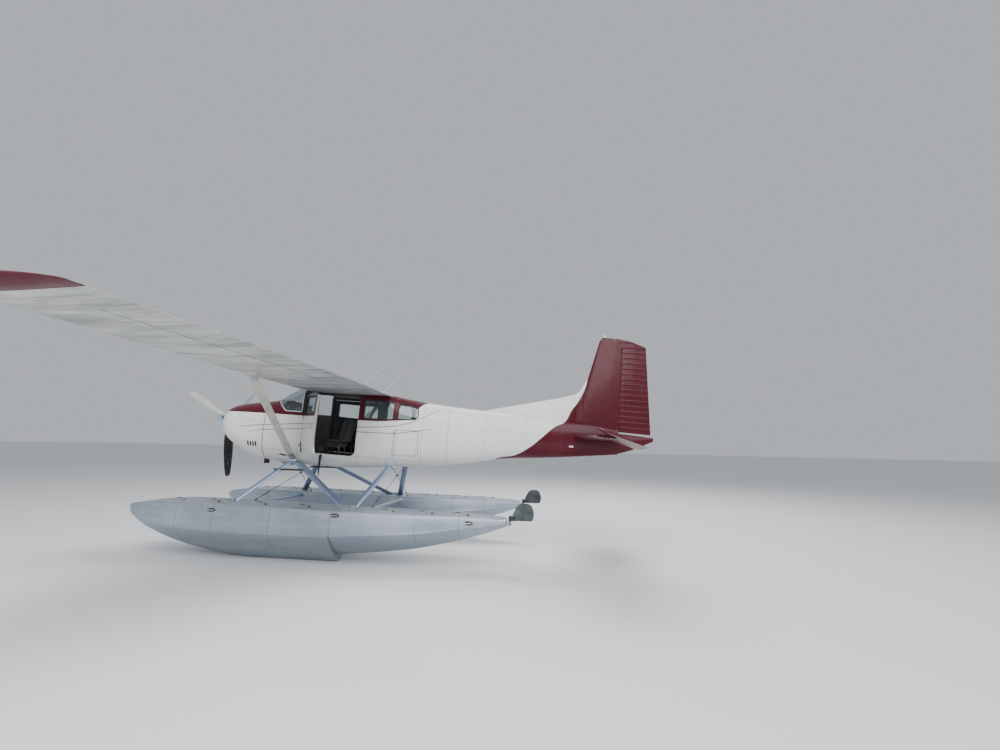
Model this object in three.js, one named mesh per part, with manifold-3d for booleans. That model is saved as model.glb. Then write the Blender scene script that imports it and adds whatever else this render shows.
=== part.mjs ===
// High-wing floatplane on twin aluminium floats, in millimetres, +Z up, nose towards -X.
// The airframe is drawn in its own frame: x aft from 65 mm behind the spinner tip, y to starboard, z up
// from the thrust line. It then sits nose-up on its floats, whose keels stand on z = 0.
import * as THREE from 'three';
import { mergeVertices } from 'three/addons/utils/BufferGeometryUtils.js';
import Module from 'manifold-3d';

const wasm = await Module();
wasm.setup();

// Driving dimensions
const SPINNER_HEIGHT = 2140;
const RIGGING_ANGLE = THREE.MathUtils.degToRad(3.5);
const SEAT_GAP = 0.4;
const RUNNING_GAP = 7;

const FIREWALL_X = 1250;
const FIREWALL_THICKNESS = 6;
const COWL_SKIN = 10;
const CABIN_WALL = 28;
const TAIL_WALL = 30;
const TAIL_JOINT_X = 4450;
const BULKHEAD_X = 4400;
const TAIL_END_X = 7785;
const LIGHT_LENGTH = 14;

const WING_ROOT_Y = 530;
const TAPER_END_Y = 5100;
const TIP_JOINT_Y = 5340;
const HALF_SPAN = 5460;
const BREAK_Y = 1900;
const ROOT_CHORD = 1626;
const TIP_CHORD = 1130;
const WING_LE_X = 1795;
const LE_SHARE = 0.27;
const ROOT_Z = 625;
const DIHEDRAL = THREE.MathUtils.degToRad(1.63);
const ROOT_INCIDENCE = THREE.MathUtils.degToRad(1.8);
const TIP_INCIDENCE = THREE.MathUtils.degToRad(-1.7);
const PIVOT_CHORD = 0.3;
const AIRFOIL = { camber: 0.02, camberAt: 0.4, thickness: 0.12 };

const DOOR_HINGE_X = 1975;
const DOOR_HINGE_Y = 542;
const DOOR_THICKNESS = 36;
const DOOR_REST_ANGLE = THREE.MathUtils.degToRad(51);
const BAGGAGE_HINGE_X = 3578;
const BAGGAGE_HINGE_Y = 506;
const KNUCKLE_RADIUS = 9;

const TAIL_HINGE_X = 7085;
const TAIL_Z = 160;
const TAIL_HALF_SPAN = 1650;
const ELEVATOR_REST_ANGLE = THREE.MathUtils.degToRad(18);
const RUDDER_HINGE_X = 7250;

const PROPELLER_X = 215;
const PROPELLER_RADIUS = 1080;
const BLADE_ANGLES = [-79.5, 40.5, 160.5];
const SPINNER_LENGTH = 300;
const SPINNER_RADIUS = 165;

const FLOAT_Y = 1130;
const STEP_X = 3050;
const TRUNNION_RADIUS = 8;
const TRUNNION_GAP = 0.95;

// Materials
const paint = (color, roughness = 0.35) => new THREE.MeshStandardMaterial({ color, roughness, metalness: 0 });
const metal = (color, roughness = 0.4) =>
  new THREE.MeshStandardMaterial({ color, roughness, metalness: 0.9 });
const white = paint(0xe9e8e2);
const maroon = paint(0x5a0a1c);
const skinMetal = metal(0x9fb0bb);
const strutMetal = metal(0x8fa3b8);
const creamPaint = paint(0xcfcabb);
const darkTrim = paint(0x17181c, 0.8);
const engineMetal = metal(0x4c4e50, 0.7);
const glass = new THREE.MeshStandardMaterial({
  color: 0xcfdde0, roughness: 0.05, metalness: 0, opacity: 0.3,
});
const lampGlass = paint(0xf2f2f0, 0.2);

// Basic solids
const point = (x, y, z) => new THREE.Vector3(x, y, z);
const lerp = THREE.MathUtils.lerp;

function capTriangles(ring, offset) {
  const normal = point(0, 0, 0);
  ring.forEach((a, i) => {
    const b = ring[(i + 1) % ring.length];
    normal.add(point((a.y - b.y) * (a.z + b.z), (a.z - b.z) * (a.x + b.x), (a.x - b.x) * (a.y + b.y)));
  });
  const size = [Math.abs(normal.x), Math.abs(normal.y), Math.abs(normal.z)];
  const widest = size.indexOf(Math.max(...size));
  const flat = ring.map((p) => [new THREE.Vector2(p.y, p.z), new THREE.Vector2(p.x, p.z),
    new THREE.Vector2(p.x, p.y)][widest]);
  return THREE.ShapeUtils.triangulateShape(flat, []).map((face) => face.map((i) => i + offset));
}

function signedVolume(positions, faces) {
  let volume = 0;
  const corner = (i) => point(positions[3 * i], positions[3 * i + 1], positions[3 * i + 2]);
  for (const [a, b, c] of faces) volume += corner(a).dot(corner(b).cross(corner(c))) / 6;
  return volume;
}

function solidFromFaces(positions, faces) {
  const ordered = signedVolume(positions, faces) < 0 ? faces.map(([a, b, c]) => [a, c, b]) : faces;
  return new wasm.Manifold(new wasm.Mesh({
    numProp: 3, vertProperties: new Float32Array(positions), triVerts: new Uint32Array(ordered.flat()),
  }));
}

function edgeDirection(faces, from, to) {
  return faces.some((face) => face.some((v, k) => v === from && face[(k + 1) % 3] === to));
}

// Joins rings of equal point counts into one closed solid with flat ends.
function loft(rings) {
  const count = rings[0].length;
  const positions = rings.flat().flatMap((p) => [p.x, p.y, p.z]);
  const faces = [];
  for (let i = 0; i + 1 < rings.length; i += 1) {
    for (let j = 0; j < count; j += 1) {
      const k = (j + 1) % count;
      const [a, b, c, d] = [i * count + j, i * count + k, (i + 1) * count + k, (i + 1) * count + j];
      faces.push([a, b, c], [a, c, d]);
    }
  }
  const last = (rings.length - 1) * count;
  let first = capTriangles(rings[0], 0);
  let end = capTriangles(rings[rings.length - 1], last);
  if (edgeDirection(first, 0, 1)) first = first.map(([a, b, c]) => [a, c, b]);
  if (!edgeDirection(end, last, last + 1)) end = end.map(([a, b, c]) => [a, c, b]);
  return solidFromFaces(positions, [...faces, ...first, ...end]);
}

function fromGeometry(geometry) {
  geometry.deleteAttribute('normal');
  geometry.deleteAttribute('uv');
  const merged = mergeVertices(geometry, 1e-3);
  const index = Array.from(merged.index.array);
  const faces = [];
  for (let i = 0; i < index.length; i += 3) {
    const face = index.slice(i, i + 3);
    if (new Set(face).size === 3) faces.push(face);
  }
  return solidFromFaces(Array.from(merged.attributes.position.array), faces);
}

function box(min, max) {
  const geometry = new THREE.BoxGeometry(max[0] - min[0], max[1] - min[1], max[2] - min[2]);
  geometry.translate((min[0] + max[0]) / 2, (min[1] + max[1]) / 2, (min[2] + max[2]) / 2);
  return fromGeometry(geometry);
}

// A round bar between two points, with its two end radii.
function bar(from, to, radiusFrom, radiusTo = radiusFrom, sides = 12) {
  const axis = to.clone().sub(from);
  const geometry = new THREE.CylinderGeometry(radiusTo, radiusFrom, axis.length(), sides);
  const turn = new THREE.Quaternion().setFromUnitVectors(point(0, 1, 0), axis.clone().normalize());
  geometry.applyQuaternion(turn);
  geometry.translate((from.x + to.x) / 2, (from.y + to.y) / 2, (from.z + to.z) / 2);
  return fromGeometry(geometry);
}

// A streamlined bar: an ellipse of the given chord and thickness, its chord kept along X.
function fairedBar(from, to, chord, thickness, sides = 12) {
  const axis = to.clone().sub(from).normalize();
  const across = axis.clone().cross(point(1, 0, 0)).normalize();
  const along = across.clone().cross(axis).normalize();
  const ring = (centre) => Array.from({ length: sides }, (_, i) => {
    const angle = (2 * Math.PI * i) / sides;
    return centre.clone().addScaledVector(along, (chord / 2) * Math.cos(angle))
      .addScaledVector(across, (thickness / 2) * Math.sin(angle));
  });
  return loft([ring(from), ring(to)]);
}

// An outline of [x, z] corners pushed across the width from y0 to y1.
function sidePrism(outline, y0, y1) {
  return loft([outline.map(([x, z]) => point(x, y0, z)), outline.map(([x, z]) => point(x, y1, z))]);
}

// An outline of [x, y] corners pushed up from z0 to z1.
function planPrism(outline, z0, z1) {
  return loft([outline.map(([x, y]) => point(x, y, z0)), outline.map(([x, y]) => point(x, y, z1))]);
}

const CORNER_STEPS = 3;

// Rounds each corner of an outline; corners are [a, b, radius].
function rounded(corners) {
  return corners.flatMap(([a, b, radius], i) => {
    const here = new THREE.Vector2(a, b);
    if (!radius) return [[a, b]];
    const before = new THREE.Vector2(...corners[(i + corners.length - 1) % corners.length].slice(0, 2));
    const after = new THREE.Vector2(...corners[(i + 1) % corners.length].slice(0, 2));
    const start = here.clone().add(before.sub(here).setLength(radius));
    const finish = here.clone().add(after.sub(here).setLength(radius));
    const curve = new THREE.QuadraticBezierCurve(start, here, finish);
    return curve.getPoints(CORNER_STEPS).map((p) => [p.x, p.y]);
  });
}

// Moves an outline's corners towards its middle by a distance.
function shrunk(corners, distance) {
  const middle = [0, 1].map((k) => corners.reduce((sum, corner) => sum + corner[k] / corners.length, 0));
  return corners.map(([a, b, radius]) => [
    a - Math.sign(a - middle[0]) * distance, b - Math.sign(b - middle[1]) * distance, radius]);
}

function meshOf(name, solid, material) {
  const { numProp, vertProperties, triVerts } = solid.getMesh();
  const positions = new Float32Array((vertProperties.length / numProp) * 3);
  for (let i = 0; i < positions.length / 3; i += 1) {
    for (let k = 0; k < 3; k += 1) positions[3 * i + k] = vertProperties[numProp * i + k];
  }
  const geometry = new THREE.BufferGeometry();
  geometry.setAttribute('position', new THREE.BufferAttribute(positions, 3));
  geometry.setIndex(new THREE.BufferAttribute(new Uint32Array(triVerts), 1));
  geometry.computeVertexNormals();
  const mesh = new THREE.Mesh(geometry, material);
  mesh.name = name;
  return mesh;
}

const SIDES = [{ name: 'left', y: -1 }, { name: 'right', y: 1 }];
const mirrored = (solid, side) => (side.y < 0 ? solid.mirror([0, 1, 0]) : solid);

// Fuselage body: x, top z, bottom z, half width, z of the widest place, upper and lower squareness
const BODY = [
  { x: 310, top: 150, bottom: -250, half: 255, wide: -50, upper: 2.2, lower: 2.2 },
  { x: 360, top: 200, bottom: -330, half: 335, wide: -60, upper: 2.3, lower: 2.3 },
  { x: 500, top: 258, bottom: -430, half: 415, wide: -80, upper: 2.5, lower: 2.5 },
  { x: 750, top: 310, bottom: -560, half: 460, wide: -90, upper: 2.8, lower: 2.7 },
  { x: 1050, top: 352, bottom: -645, half: 480, wide: -100, upper: 3, lower: 2.9 },
  { x: 1250, top: 385, bottom: -675, half: 490, wide: -100, upper: 3.2, lower: 3 },
  { x: 1400, top: 420, bottom: -685, half: 500, wide: -50, upper: 3.6, lower: 3.2 },
  { x: 1640, top: 565, bottom: -690, half: 518, wide: -20, upper: 4.6, lower: 3.4 },
  { x: 1955, top: 712, bottom: -690, half: 532, wide: 0, upper: 6, lower: 3.5 },
  { x: 2450, top: 725, bottom: -685, half: 536, wide: 0, upper: 6, lower: 3.5 },
  { x: 2950, top: 700, bottom: -655, half: 530, wide: 0, upper: 6, lower: 3.5 },
  { x: 3430, top: 606, bottom: -605, half: 505, wide: 20, upper: 5, lower: 3.3 },
  { x: 4000, top: 535, bottom: -545, half: 440, wide: 40, upper: 3.5, lower: 3 },
  { x: 4450, top: 500, bottom: -475, half: 378, wide: 50, upper: 3, lower: 2.7 },
  { x: 5300, top: 465, bottom: -315, half: 270, wide: 80, upper: 2.6, lower: 2.5 },
  { x: 6200, top: 430, bottom: -215, half: 165, wide: 100, upper: 2.4, lower: 2.3 },
  { x: 6900, top: 395, bottom: -125, half: 95, wide: 130, upper: 2.2, lower: 2.2 },
  { x: 7225, top: 370, bottom: -80, half: 62, wide: 145, upper: 2.1, lower: 2.1 },
];
const BODY_POINTS = 28;

function bodyAt(x) {
  const next = Math.min(Math.max(BODY.findIndex((row) => row.x >= x), 1), BODY.length - 1);
  const [a, b] = [BODY[next - 1], BODY[next]];
  const t = (x - a.x) / (b.x - a.x);
  return Object.fromEntries(Object.keys(a).map((key) => [key, lerp(a[key], b[key], t)]));
}

function bodyRing(x, inset) {
  const row = bodyAt(x);
  return Array.from({ length: BODY_POINTS }, (_, i) => {
    const angle = (2 * Math.PI * (i + 0.5)) / BODY_POINTS;
    const [c, s] = [Math.cos(angle), Math.sin(angle)];
    const power = 2 / (s > 0 ? row.upper : row.lower);
    const height = s > 0 ? row.top - inset - row.wide : row.wide - row.bottom - inset;
    return point(x, (row.half - inset) * Math.sign(c) * Math.abs(c) ** power,
      row.wide + height * Math.sign(s) * Math.abs(s) ** power);
  });
}

function body(inset, x0, x1) {
  const stations = [x0, ...BODY.map((row) => row.x).filter((x) => x > x0 + 1 && x < x1 - 1), x1];
  return loft(stations.map((x) => bodyRing(x, inset)));
}

// Half width of the body at a station and height.
function bodyHalfWidth(x, z) {
  const row = bodyAt(x);
  const [height, power] = z > row.wide ? [row.top - row.wide, row.upper] : [row.wide - row.bottom, row.lower];
  return row.half * (1 - (Math.abs(z - row.wide) / height) ** power) ** (1 / power);
}

// Wing section: a cambered airfoil of two surfaces, trailing edge first, over the top to the nose
const AIRFOIL_STEPS = 9;
const TE_THICKNESS = 0.004;

function airfoil(scale = 1) {
  const { camber, camberAt, thickness } = AIRFOIL;
  const surface = (x, sign) => {
    const line = x < camberAt ? (camber / camberAt ** 2) * (2 * camberAt * x - x * x)
      : (camber / (1 - camberAt) ** 2) * (1 - 2 * camberAt + 2 * camberAt * x - x * x);
    const half = 5 * thickness * (0.2969 * Math.sqrt(x) - 0.126 * x - 0.3516 * x ** 2
      + 0.2843 * x ** 3 - 0.1015 * x ** 4) + (TE_THICKNESS / 2) * x;
    return line + sign * half * scale;
  };
  const at = (i) => 0.5 * (1 - Math.cos((Math.PI * i) / AIRFOIL_STEPS));
  const stations = Array.from({ length: AIRFOIL_STEPS }, (_, i) => at(i + 1));
  const upper = stations.map((x) => [x, surface(x, 1)]).reverse();
  const lower = stations.map((x) => [x, surface(x, -1)]);
  return [...upper, [0, 0], ...lower];
}

function wingStation(y) {
  const outer = Math.max(0, (y - BREAK_Y) / (TAPER_END_Y - BREAK_Y));
  const chord = lerp(ROOT_CHORD, TIP_CHORD, outer);
  const twist = lerp(ROOT_INCIDENCE, TIP_INCIDENCE, (y - WING_ROOT_Y) / (TAPER_END_Y - WING_ROOT_Y));
  return {
    y, chord, twist, x: WING_LE_X + LE_SHARE * (ROOT_CHORD - TIP_CHORD) * outer,
    z: ROOT_Z + Math.tan(DIHEDRAL) * (y - WING_ROOT_Y), thick: 1,
  };
}

// Places one chord-fraction point of a station's section in space.
function onStation({ x, y, z, chord, twist }, [along, up]) {
  const back = (along - PIVOT_CHORD) * chord;
  const rise = up * chord;
  return point(x + PIVOT_CHORD * chord + back * Math.cos(twist) + rise * Math.sin(twist), y,
    z - back * Math.sin(twist) + rise * Math.cos(twist));
}

const stationRing = (station) => airfoil(station.thick).map((p) => onStation(station, p));

function wingSolid(y0, y1) {
  const middle = y0 < BREAK_Y && y1 > BREAK_Y ? [BREAK_Y] : [];
  return loft([y0, ...middle, y1].map((y) => stationRing(wingStation(y))));
}

// Hinged surface: a slot cut round a straight hinge line, and the surface left inside it
const HINGE_SIDES = 8;
const REACH = 900;

// A D-shaped block: a round nose about the hinge line, open behind it.
function hingeBlock(from, to, radiusFrom, radiusTo) {
  const ring = (centre, radius) => {
    const at = (dx, dz) => point(centre.x + dx, centre.y, centre.z + dz);
    const nose = Array.from({ length: HINGE_SIDES + 1 }, (_, i) => {
      const angle = Math.PI / 2 + (Math.PI * i) / HINGE_SIDES;
      return at(radius * Math.cos(angle), radius * Math.sin(angle));
    });
    return [at(REACH, REACH / 2), at(0, REACH / 2), ...nose, at(0, -REACH / 2), at(REACH, -REACH / 2)];
  };
  return loft([ring(from, radiusFrom), ring(to, radiusTo)]);
}

// Flaps and ailerons: inner and outer y, their chord there, nose radii
const WING_SURFACES = [
  { name: 'flap', y0: 640, y1: 2905, chord0: 400, chord1: 375, nose0: 62, nose1: 58 },
  { name: 'aileron', y0: 2935, y1: 4895, chord0: 392, chord1: 362, nose0: 56, nose1: 50 },
];
const MEAN_AT_HINGE = 0.012;
const END_ALLOWANCE = 50;

function surfaceHinge({ chord0, chord1 }, y, t) {
  const station = wingStation(y);
  const along = 1 - lerp(chord0, chord1, t) / station.chord;
  return onStation(station, [along, MEAN_AT_HINGE]);
}

// The hinge line of a surface, carried past its ends by a distance at each end.
function hingeLine(surface, extra) {
  const a = surfaceHinge(surface, surface.y0, 0);
  const b = surfaceHinge(surface, surface.y1, 1);
  const along = b.clone().sub(a).normalize();
  const step = extra / along.y;
  return [a.addScaledVector(along, -step), b.addScaledVector(along, step)];
}

function buildWing(side) {
  let wing = wingSolid(WING_ROOT_Y, TIP_JOINT_Y - SEAT_GAP);
  const parts = [];
  for (const surface of WING_SURFACES) {
    const [cutA, cutB] = hingeLine(surface, RUNNING_GAP);
    const slot = hingeBlock(cutA, cutB, surface.nose0 + RUNNING_GAP, surface.nose1 + RUNNING_GAP);
    const [a, b] = hingeLine(surface, 0);
    const stretch = wingSolid(surface.y0 - END_ALLOWANCE, surface.y1 + END_ALLOWANCE);
    const leaf = stretch.intersect(hingeBlock(a, b, surface.nose0, surface.nose1));
    const [pinA, pinB] = hingeLine(surface, RUNNING_GAP - TRUNNION_GAP);
    const trunnions = bar(pinA, pinB, TRUNNION_RADIUS);
    wing = wing.subtract(slot);
    parts.push(meshOf(`${surface.name}_${side.name}`, mirrored(leaf.add(trunnions), side), white));
  }
  parts.push(meshOf(`wing_${side.name}`, mirrored(wing, side), white));
  return parts;
}

// Wing tip cap: y, nose behind the wing's own, chord, section scale, lift
const TIP_SHAPE = [
  { y: TIP_JOINT_Y, nose: 0, chord: wingStation(TIP_JOINT_Y).chord, thick: 1, lift: 0 },
  { y: 5390, nose: 12, chord: 1059, thick: 0.92, lift: 4 },
  { y: 5430, nose: 50, chord: 990, thick: 0.7, lift: 16 },
  { y: 5450, nose: 110, chord: 835, thick: 0.48, lift: 30 },
  { y: HALF_SPAN, nose: 230, chord: 435, thick: 0.25, lift: 44 },
];

function tipCap(side) {
  const base = wingStation(TIP_JOINT_Y);
  const rings = TIP_SHAPE.map((row) => stationRing({
    ...base, y: row.y, x: base.x + row.nose, chord: row.chord, thick: row.thick,
    z: base.z + row.lift + Math.tan(DIHEDRAL) * (row.y - TIP_JOINT_Y),
  }));
  return meshOf(`wing_tip_${side.name}`, mirrored(loft(rings), side), maroon);
}

// Cabin roof: the centre section between the wing roots
const ROOF_FRONT_X = 1956;
const roofY = WING_ROOT_Y - SEAT_GAP;

function roofSolid() {
  const root = wingStation(WING_ROOT_Y);
  const rings = [-roofY, roofY].map((y) => stationRing({ ...root, y }));
  return loft(rings).subtract(box([0, -HALF_SPAN, -REACH], [ROOF_FRONT_X, HALF_SPAN, 2 * REACH]));
}

// Everything above the underside of the roof, kept clear of it by the seat gap.
function aboveRoofLine() {
  const root = wingStation(WING_ROOT_Y);
  const underside = airfoil().slice(AIRFOIL_STEPS).map((p) => onStation(root, p))
    .map((p) => [p.x, p.z - SEAT_GAP]);
  const behind = underside[underside.length - 1][0] + SEAT_GAP;
  const front = ROOF_FRONT_X - SEAT_GAP;
  const cut = [...underside.filter(([x]) => x > front), [behind, underside[underside.length - 1][1]],
    [behind, REACH], [front, REACH]];
  const atFront = underside.findIndex(([x]) => x > front);
  const [p, q] = [underside[atFront - 1], underside[atFront]];
  const frontZ = lerp(p[1], q[1], (front - p[0]) / (q[0] - p[0]));
  return sidePrism([[front, frontZ], ...cut], -HALF_SPAN, HALF_SPAN);
}

// Openings in the cabin side: x, z, corner radius
const DOOR_OUTLINE = [[1979, -462, 25], [2946, -462, 120], [2946, 515, 60], [1979, 515, 25]];
const DOOR_WINDOW = [[2075, 195, 40], [2870, 172, 60], [2862, 440, 60], [2075, 452, 40]];
const REAR_WINDOWS = [
  { name: 'rear_glass_front', outline: [[3040, 178, 40], [3535, 192, 40], [3525, 478, 40], [3040, 496, 40]] },
  { name: 'rear_glass_aft', outline: [[3610, 205, 30], [3945, 222, 90], [3930, 425, 90], [3610, 470, 30]] },
];
const BAGGAGE_OUTLINE = [[3584, -400, 30], [3985, -372, 30], [3985, 40, 30], [3584, 32, 30]];
// Windshield opening in side view; the glass keeps clear of it by the given shares of the seat gap
const WINDSHIELD_OUTLINE = [
  { x: 1350, z: 452, back: 1, up: 1 },
  { x: 1625, z: 205, back: 1, up: 1 },
  { x: 1928, z: 205, back: -1, up: 1 },
  { x: 1928, z: 520, back: -1, up: 0 },
  { x: 1952, z: 556, back: -1, up: 0 },
  { x: 1952, z: REACH, back: -1, up: 0 },
  { x: 1350, z: REACH, back: 1, up: 0 },
];
const GLASS_INSET = 10;
const GLASS_THICKNESS = 6;

// Stretches of the body: windscreen, cabin side and baggage door
const WINDSCREEN_RANGE = [1300, 2000];
const CABIN_RANGE = [1300, 4200];
const BAGGAGE_RANGE = [3400, 4200];

// The skin of a stretch of the body between two depths.
function skinLayer([x0, x1], outer, inner) {
  return body(outer, x0, x1).subtract(body(inner, x0 - 1, x1 + 1));
}

const SIDE_CUT_FROM = 150;

function sideCut(outline, side) {
  const [y0, y1] = [SIDE_CUT_FROM * side.y, REACH * side.y];
  return sidePrism(rounded(outline), Math.min(y0, y1), Math.max(y0, y1));
}

function pane(name, outline, side) {
  const layer = skinLayer(CABIN_RANGE, GLASS_INSET, GLASS_INSET + GLASS_THICKNESS);
  return meshOf(`${name}_${side.name}`, layer.intersect(sideCut(shrunk(outline, SEAT_GAP), side)), glass);
}

// A vertical hinge: knuckles on the post and on the leaf that share one axis
const KNUCKLE_HEIGHT = 26;
const KNUCKLE_SIDES = 10;
const KNUCKLE_SUNK = 12;

function knuckle(x, y, z, reachX, reachY) {
  const top = point(x, y, z + KNUCKLE_HEIGHT);
  const barrel = bar(point(x, y, z), top, KNUCKLE_RADIUS, KNUCKLE_RADIUS, KNUCKLE_SIDES);
  const leaf = box([Math.min(x, x + reachX), Math.min(y, y + reachY), z],
    [Math.max(x, x + reachX), Math.max(y, y + reachY), z + KNUCKLE_HEIGHT]);
  return barrel.add(leaf);
}

const DOOR_HINGE_HEIGHTS = [-345, 85];
const BAGGAGE_HINGE_HEIGHTS = [-330, -60];
const KNUCKLE_REACH = 26;

function knuckles(x, y, heights, side, isLeaf) {
  const lift = isLeaf ? KNUCKLE_HEIGHT + SEAT_GAP : 0;
  return heights.map((z) => {
    const skinDepth = y - bodyHalfWidth(x, z) + KNUCKLE_SUNK;
    return knuckle(x, side.y * y, z + lift, isLeaf ? KNUCKLE_REACH : -KNUCKLE_REACH, -side.y * skinDepth);
  }).reduce((all, one) => all.add(one));
}

// The recesses in the post's skin that let the leaves' knuckles turn.
function hingeNotches(x, y, heights, side) {
  return heights.map((z) => {
    const inner = side.y * (bodyHalfWidth(x, z) - KNUCKLE_SUNK - SEAT_GAP);
    const outer = side.y * (y + 2 * KNUCKLE_RADIUS);
    return box([x - KNUCKLE_RADIUS - SEAT_GAP, Math.min(inner, outer), z + KNUCKLE_HEIGHT],
      [x + KNUCKLE_REACH, Math.max(inner, outer), z + 2 * KNUCKLE_HEIGHT + 2 * SEAT_GAP]);
  }).reduce((all, one) => all.add(one));
}

// Strut fittings under the front door posts: they carry wing strut and float legs
const FRONT_FITTING = { x: 1868, y: 478, z: -590, long: 120, deep: 70 };
const REAR_FITTING = { x: 3560, y: 415, z: -515, long: 90, deep: 60 };
const FITTING_INBOARD = 150;
const FITTING_PROUD = 12;

function fittingBlock({ x, y, z, long, deep }, side, grow = 0) {
  const inner = side.y * (y - FITTING_INBOARD);
  const outer = side.y * (y + FITTING_PROUD + grow);
  return box([x - long / 2 - grow, Math.min(inner, outer), z - deep / 2 - grow],
    [x + long / 2 + grow, Math.max(inner, outer), z + deep / 2 + grow]);
}

// Lugs under the fittings, just clear of the belly, for the brace wires between the floats
const LUG = { inboard: 88, half: 15, length: 40, depth: 35, root: 5 };

function lugBlock({ x, y, z, deep }, side, grow = 0) {
  const centre = side.y * (y - LUG.inboard);
  const low = z - deep / 2;
  return box([x - LUG.length / 2 - grow, centre - LUG.half - grow, low - LUG.depth - grow],
    [x + LUG.length / 2 + grow, centre + LUG.half + grow, low + LUG.root]);
}

function fuselageShell() {
  const x0 = FIREWALL_X + FIREWALL_THICKNESS / 2 + SEAT_GAP;
  let shell = body(0, x0, TAIL_JOINT_X - SEAT_GAP);
  for (const side of SIDES) {
    for (const fitting of [FRONT_FITTING, REAR_FITTING]) {
      shell = shell.add(fittingBlock(fitting, side)).add(lugBlock(fitting, side));
    }
  }
  shell = shell.subtract(cabinRoom(0));
  const windscreenOpening = sidePrism(WINDSHIELD_OUTLINE.map(({ x, z }) => [x, z]), -REACH, REACH);
  shell = shell.subtract(aboveRoofLine()).subtract(windscreenOpening);
  for (const side of SIDES) {
    shell = shell.subtract(sideCut(DOOR_OUTLINE, side));
    for (const { outline } of REAR_WINDOWS) shell = shell.subtract(sideCut(outline, side));
    shell = shell.subtract(hingeNotches(DOOR_HINGE_X, DOOR_HINGE_Y, DOOR_HINGE_HEIGHTS, side));
    shell = shell.add(knuckles(DOOR_HINGE_X, DOOR_HINGE_Y, DOOR_HINGE_HEIGHTS, side, false));
  }
  const left = SIDES[0];
  shell = shell.subtract(sideCut(BAGGAGE_OUTLINE, left));
  shell = shell.subtract(hingeNotches(BAGGAGE_HINGE_X, BAGGAGE_HINGE_Y, BAGGAGE_HINGE_HEIGHTS, left));
  return shell.add(knuckles(BAGGAGE_HINGE_X, BAGGAGE_HINGE_Y, BAGGAGE_HINGE_HEIGHTS, left, false));
}

function doorSolid(side) {
  const outline = shrunk(DOOR_OUTLINE, RUNNING_GAP);
  const layer = skinLayer(CABIN_RANGE, 0, DOOR_THICKNESS);
  const panel = layer.intersect(sideCut(outline, side)).subtract(sideCut(DOOR_WINDOW, side));
  return panel.add(knuckles(DOOR_HINGE_X, DOOR_HINGE_Y, DOOR_HINGE_HEIGHTS, side, true));
}

// Turns a group about a vertical line through x, y.
function turnedAbout(x, y, angle, meshes) {
  const pivot = new THREE.Group();
  pivot.position.set(x, y, 0);
  pivot.rotation.z = angle;
  const inner = new THREE.Group();
  inner.position.set(-x, -y, 0);
  meshes.forEach((mesh) => inner.add(mesh));
  pivot.add(inner);
  return pivot;
}

function doors() {
  return SIDES.map((side) => {
    const leaf = meshOf(`door_${side.name}`, doorSolid(side), white);
    const meshes = [leaf, pane('door_glass', DOOR_WINDOW, side)];
    const angle = side.name === 'left' ? -DOOR_REST_ANGLE : 0;
    return turnedAbout(DOOR_HINGE_X, side.y * DOOR_HINGE_Y, angle, meshes);
  });
}

function baggageDoor() {
  const left = SIDES[0];
  const layer = skinLayer(BAGGAGE_RANGE, 0, CABIN_WALL);
  const panel = layer.intersect(sideCut(shrunk(BAGGAGE_OUTLINE, RUNNING_GAP), left));
  const leaf = knuckles(BAGGAGE_HINGE_X, BAGGAGE_HINGE_Y, BAGGAGE_HINGE_HEIGHTS, left, true);
  return meshOf('baggage_door', panel.add(leaf), white);
}

function windshield() {
  const layer = skinLayer(WINDSCREEN_RANGE, 0, GLASS_THICKNESS);
  const outline = WINDSHIELD_OUTLINE.map(({ x, z, back, up }) => [x + back * SEAT_GAP, z + up * SEAT_GAP]);
  return meshOf('windshield', layer.intersect(sidePrism(outline, -REACH, REACH)), glass);
}

// Nose: cowling with two air inlets, a carburettor inlet, a lower outlet and a hole for the shaft
const SHAFT_RADIUS = 40;
const SHAFT_CLEARANCE = 2;
const SHAFT_SIDES = 16;
const SHAFT_HOLE = 70;
const NOSE_RING_X = 310;
const NOSE_LIP = 15;
const COWL_REAR = FIREWALL_X - FIREWALL_THICKNESS / 2 - SEAT_GAP;
const COWL_OPENINGS = [
  { low: [280, -250, -85], high: [420, -110, 40] },
  { low: [280, 110, -85], high: [420, 250, 40] },
  { low: [330, -90, -330], high: [470, 90, -215] },
  { low: [1080, -230, -800], high: [COWL_REAR + 20, 230, -560] },
];

function cowl() {
  const inside = body(COWL_SKIN, NOSE_RING_X + NOSE_LIP, COWL_REAR + COWL_SKIN);
  const shaftHole = bar(point(NOSE_RING_X - NOSE_LIP, 0, 0), point(NOSE_RING_X + 2 * NOSE_LIP, 0, 0),
    SHAFT_HOLE, SHAFT_HOLE, SHAFT_SIDES);
  let shell = body(0, NOSE_RING_X, COWL_REAR).subtract(inside).subtract(shaftHole);
  for (const { low, high } of COWL_OPENINGS) shell = shell.subtract(box(low, high));
  return meshOf('cowl', shell, white);
}

// The engine as one plain block, with the accessory case behind it and the shaft ahead
const ENGINE_BLOCK = { low: [450, -280, -230], high: [1040, 280, 110] };
const ACCESSORY_CASE = { low: [1030, -150, -180], high: [COWL_REAR, 150, 80] };
const HUB_HALF = 70;
const SHAFT_END = 460;

function engine() {
  const block = box(ENGINE_BLOCK.low, ENGINE_BLOCK.high);
  const accessories = box(ACCESSORY_CASE.low, ACCESSORY_CASE.high);
  const flange = point(PROPELLER_X + HUB_HALF + SEAT_GAP, 0, 0);
  const shaft = bar(flange, point(SHAFT_END, 0, 0), SHAFT_RADIUS, SHAFT_RADIUS, SHAFT_SIDES);
  return meshOf('engine', block.add(accessories).add(shaft), engineMetal);
}

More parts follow.
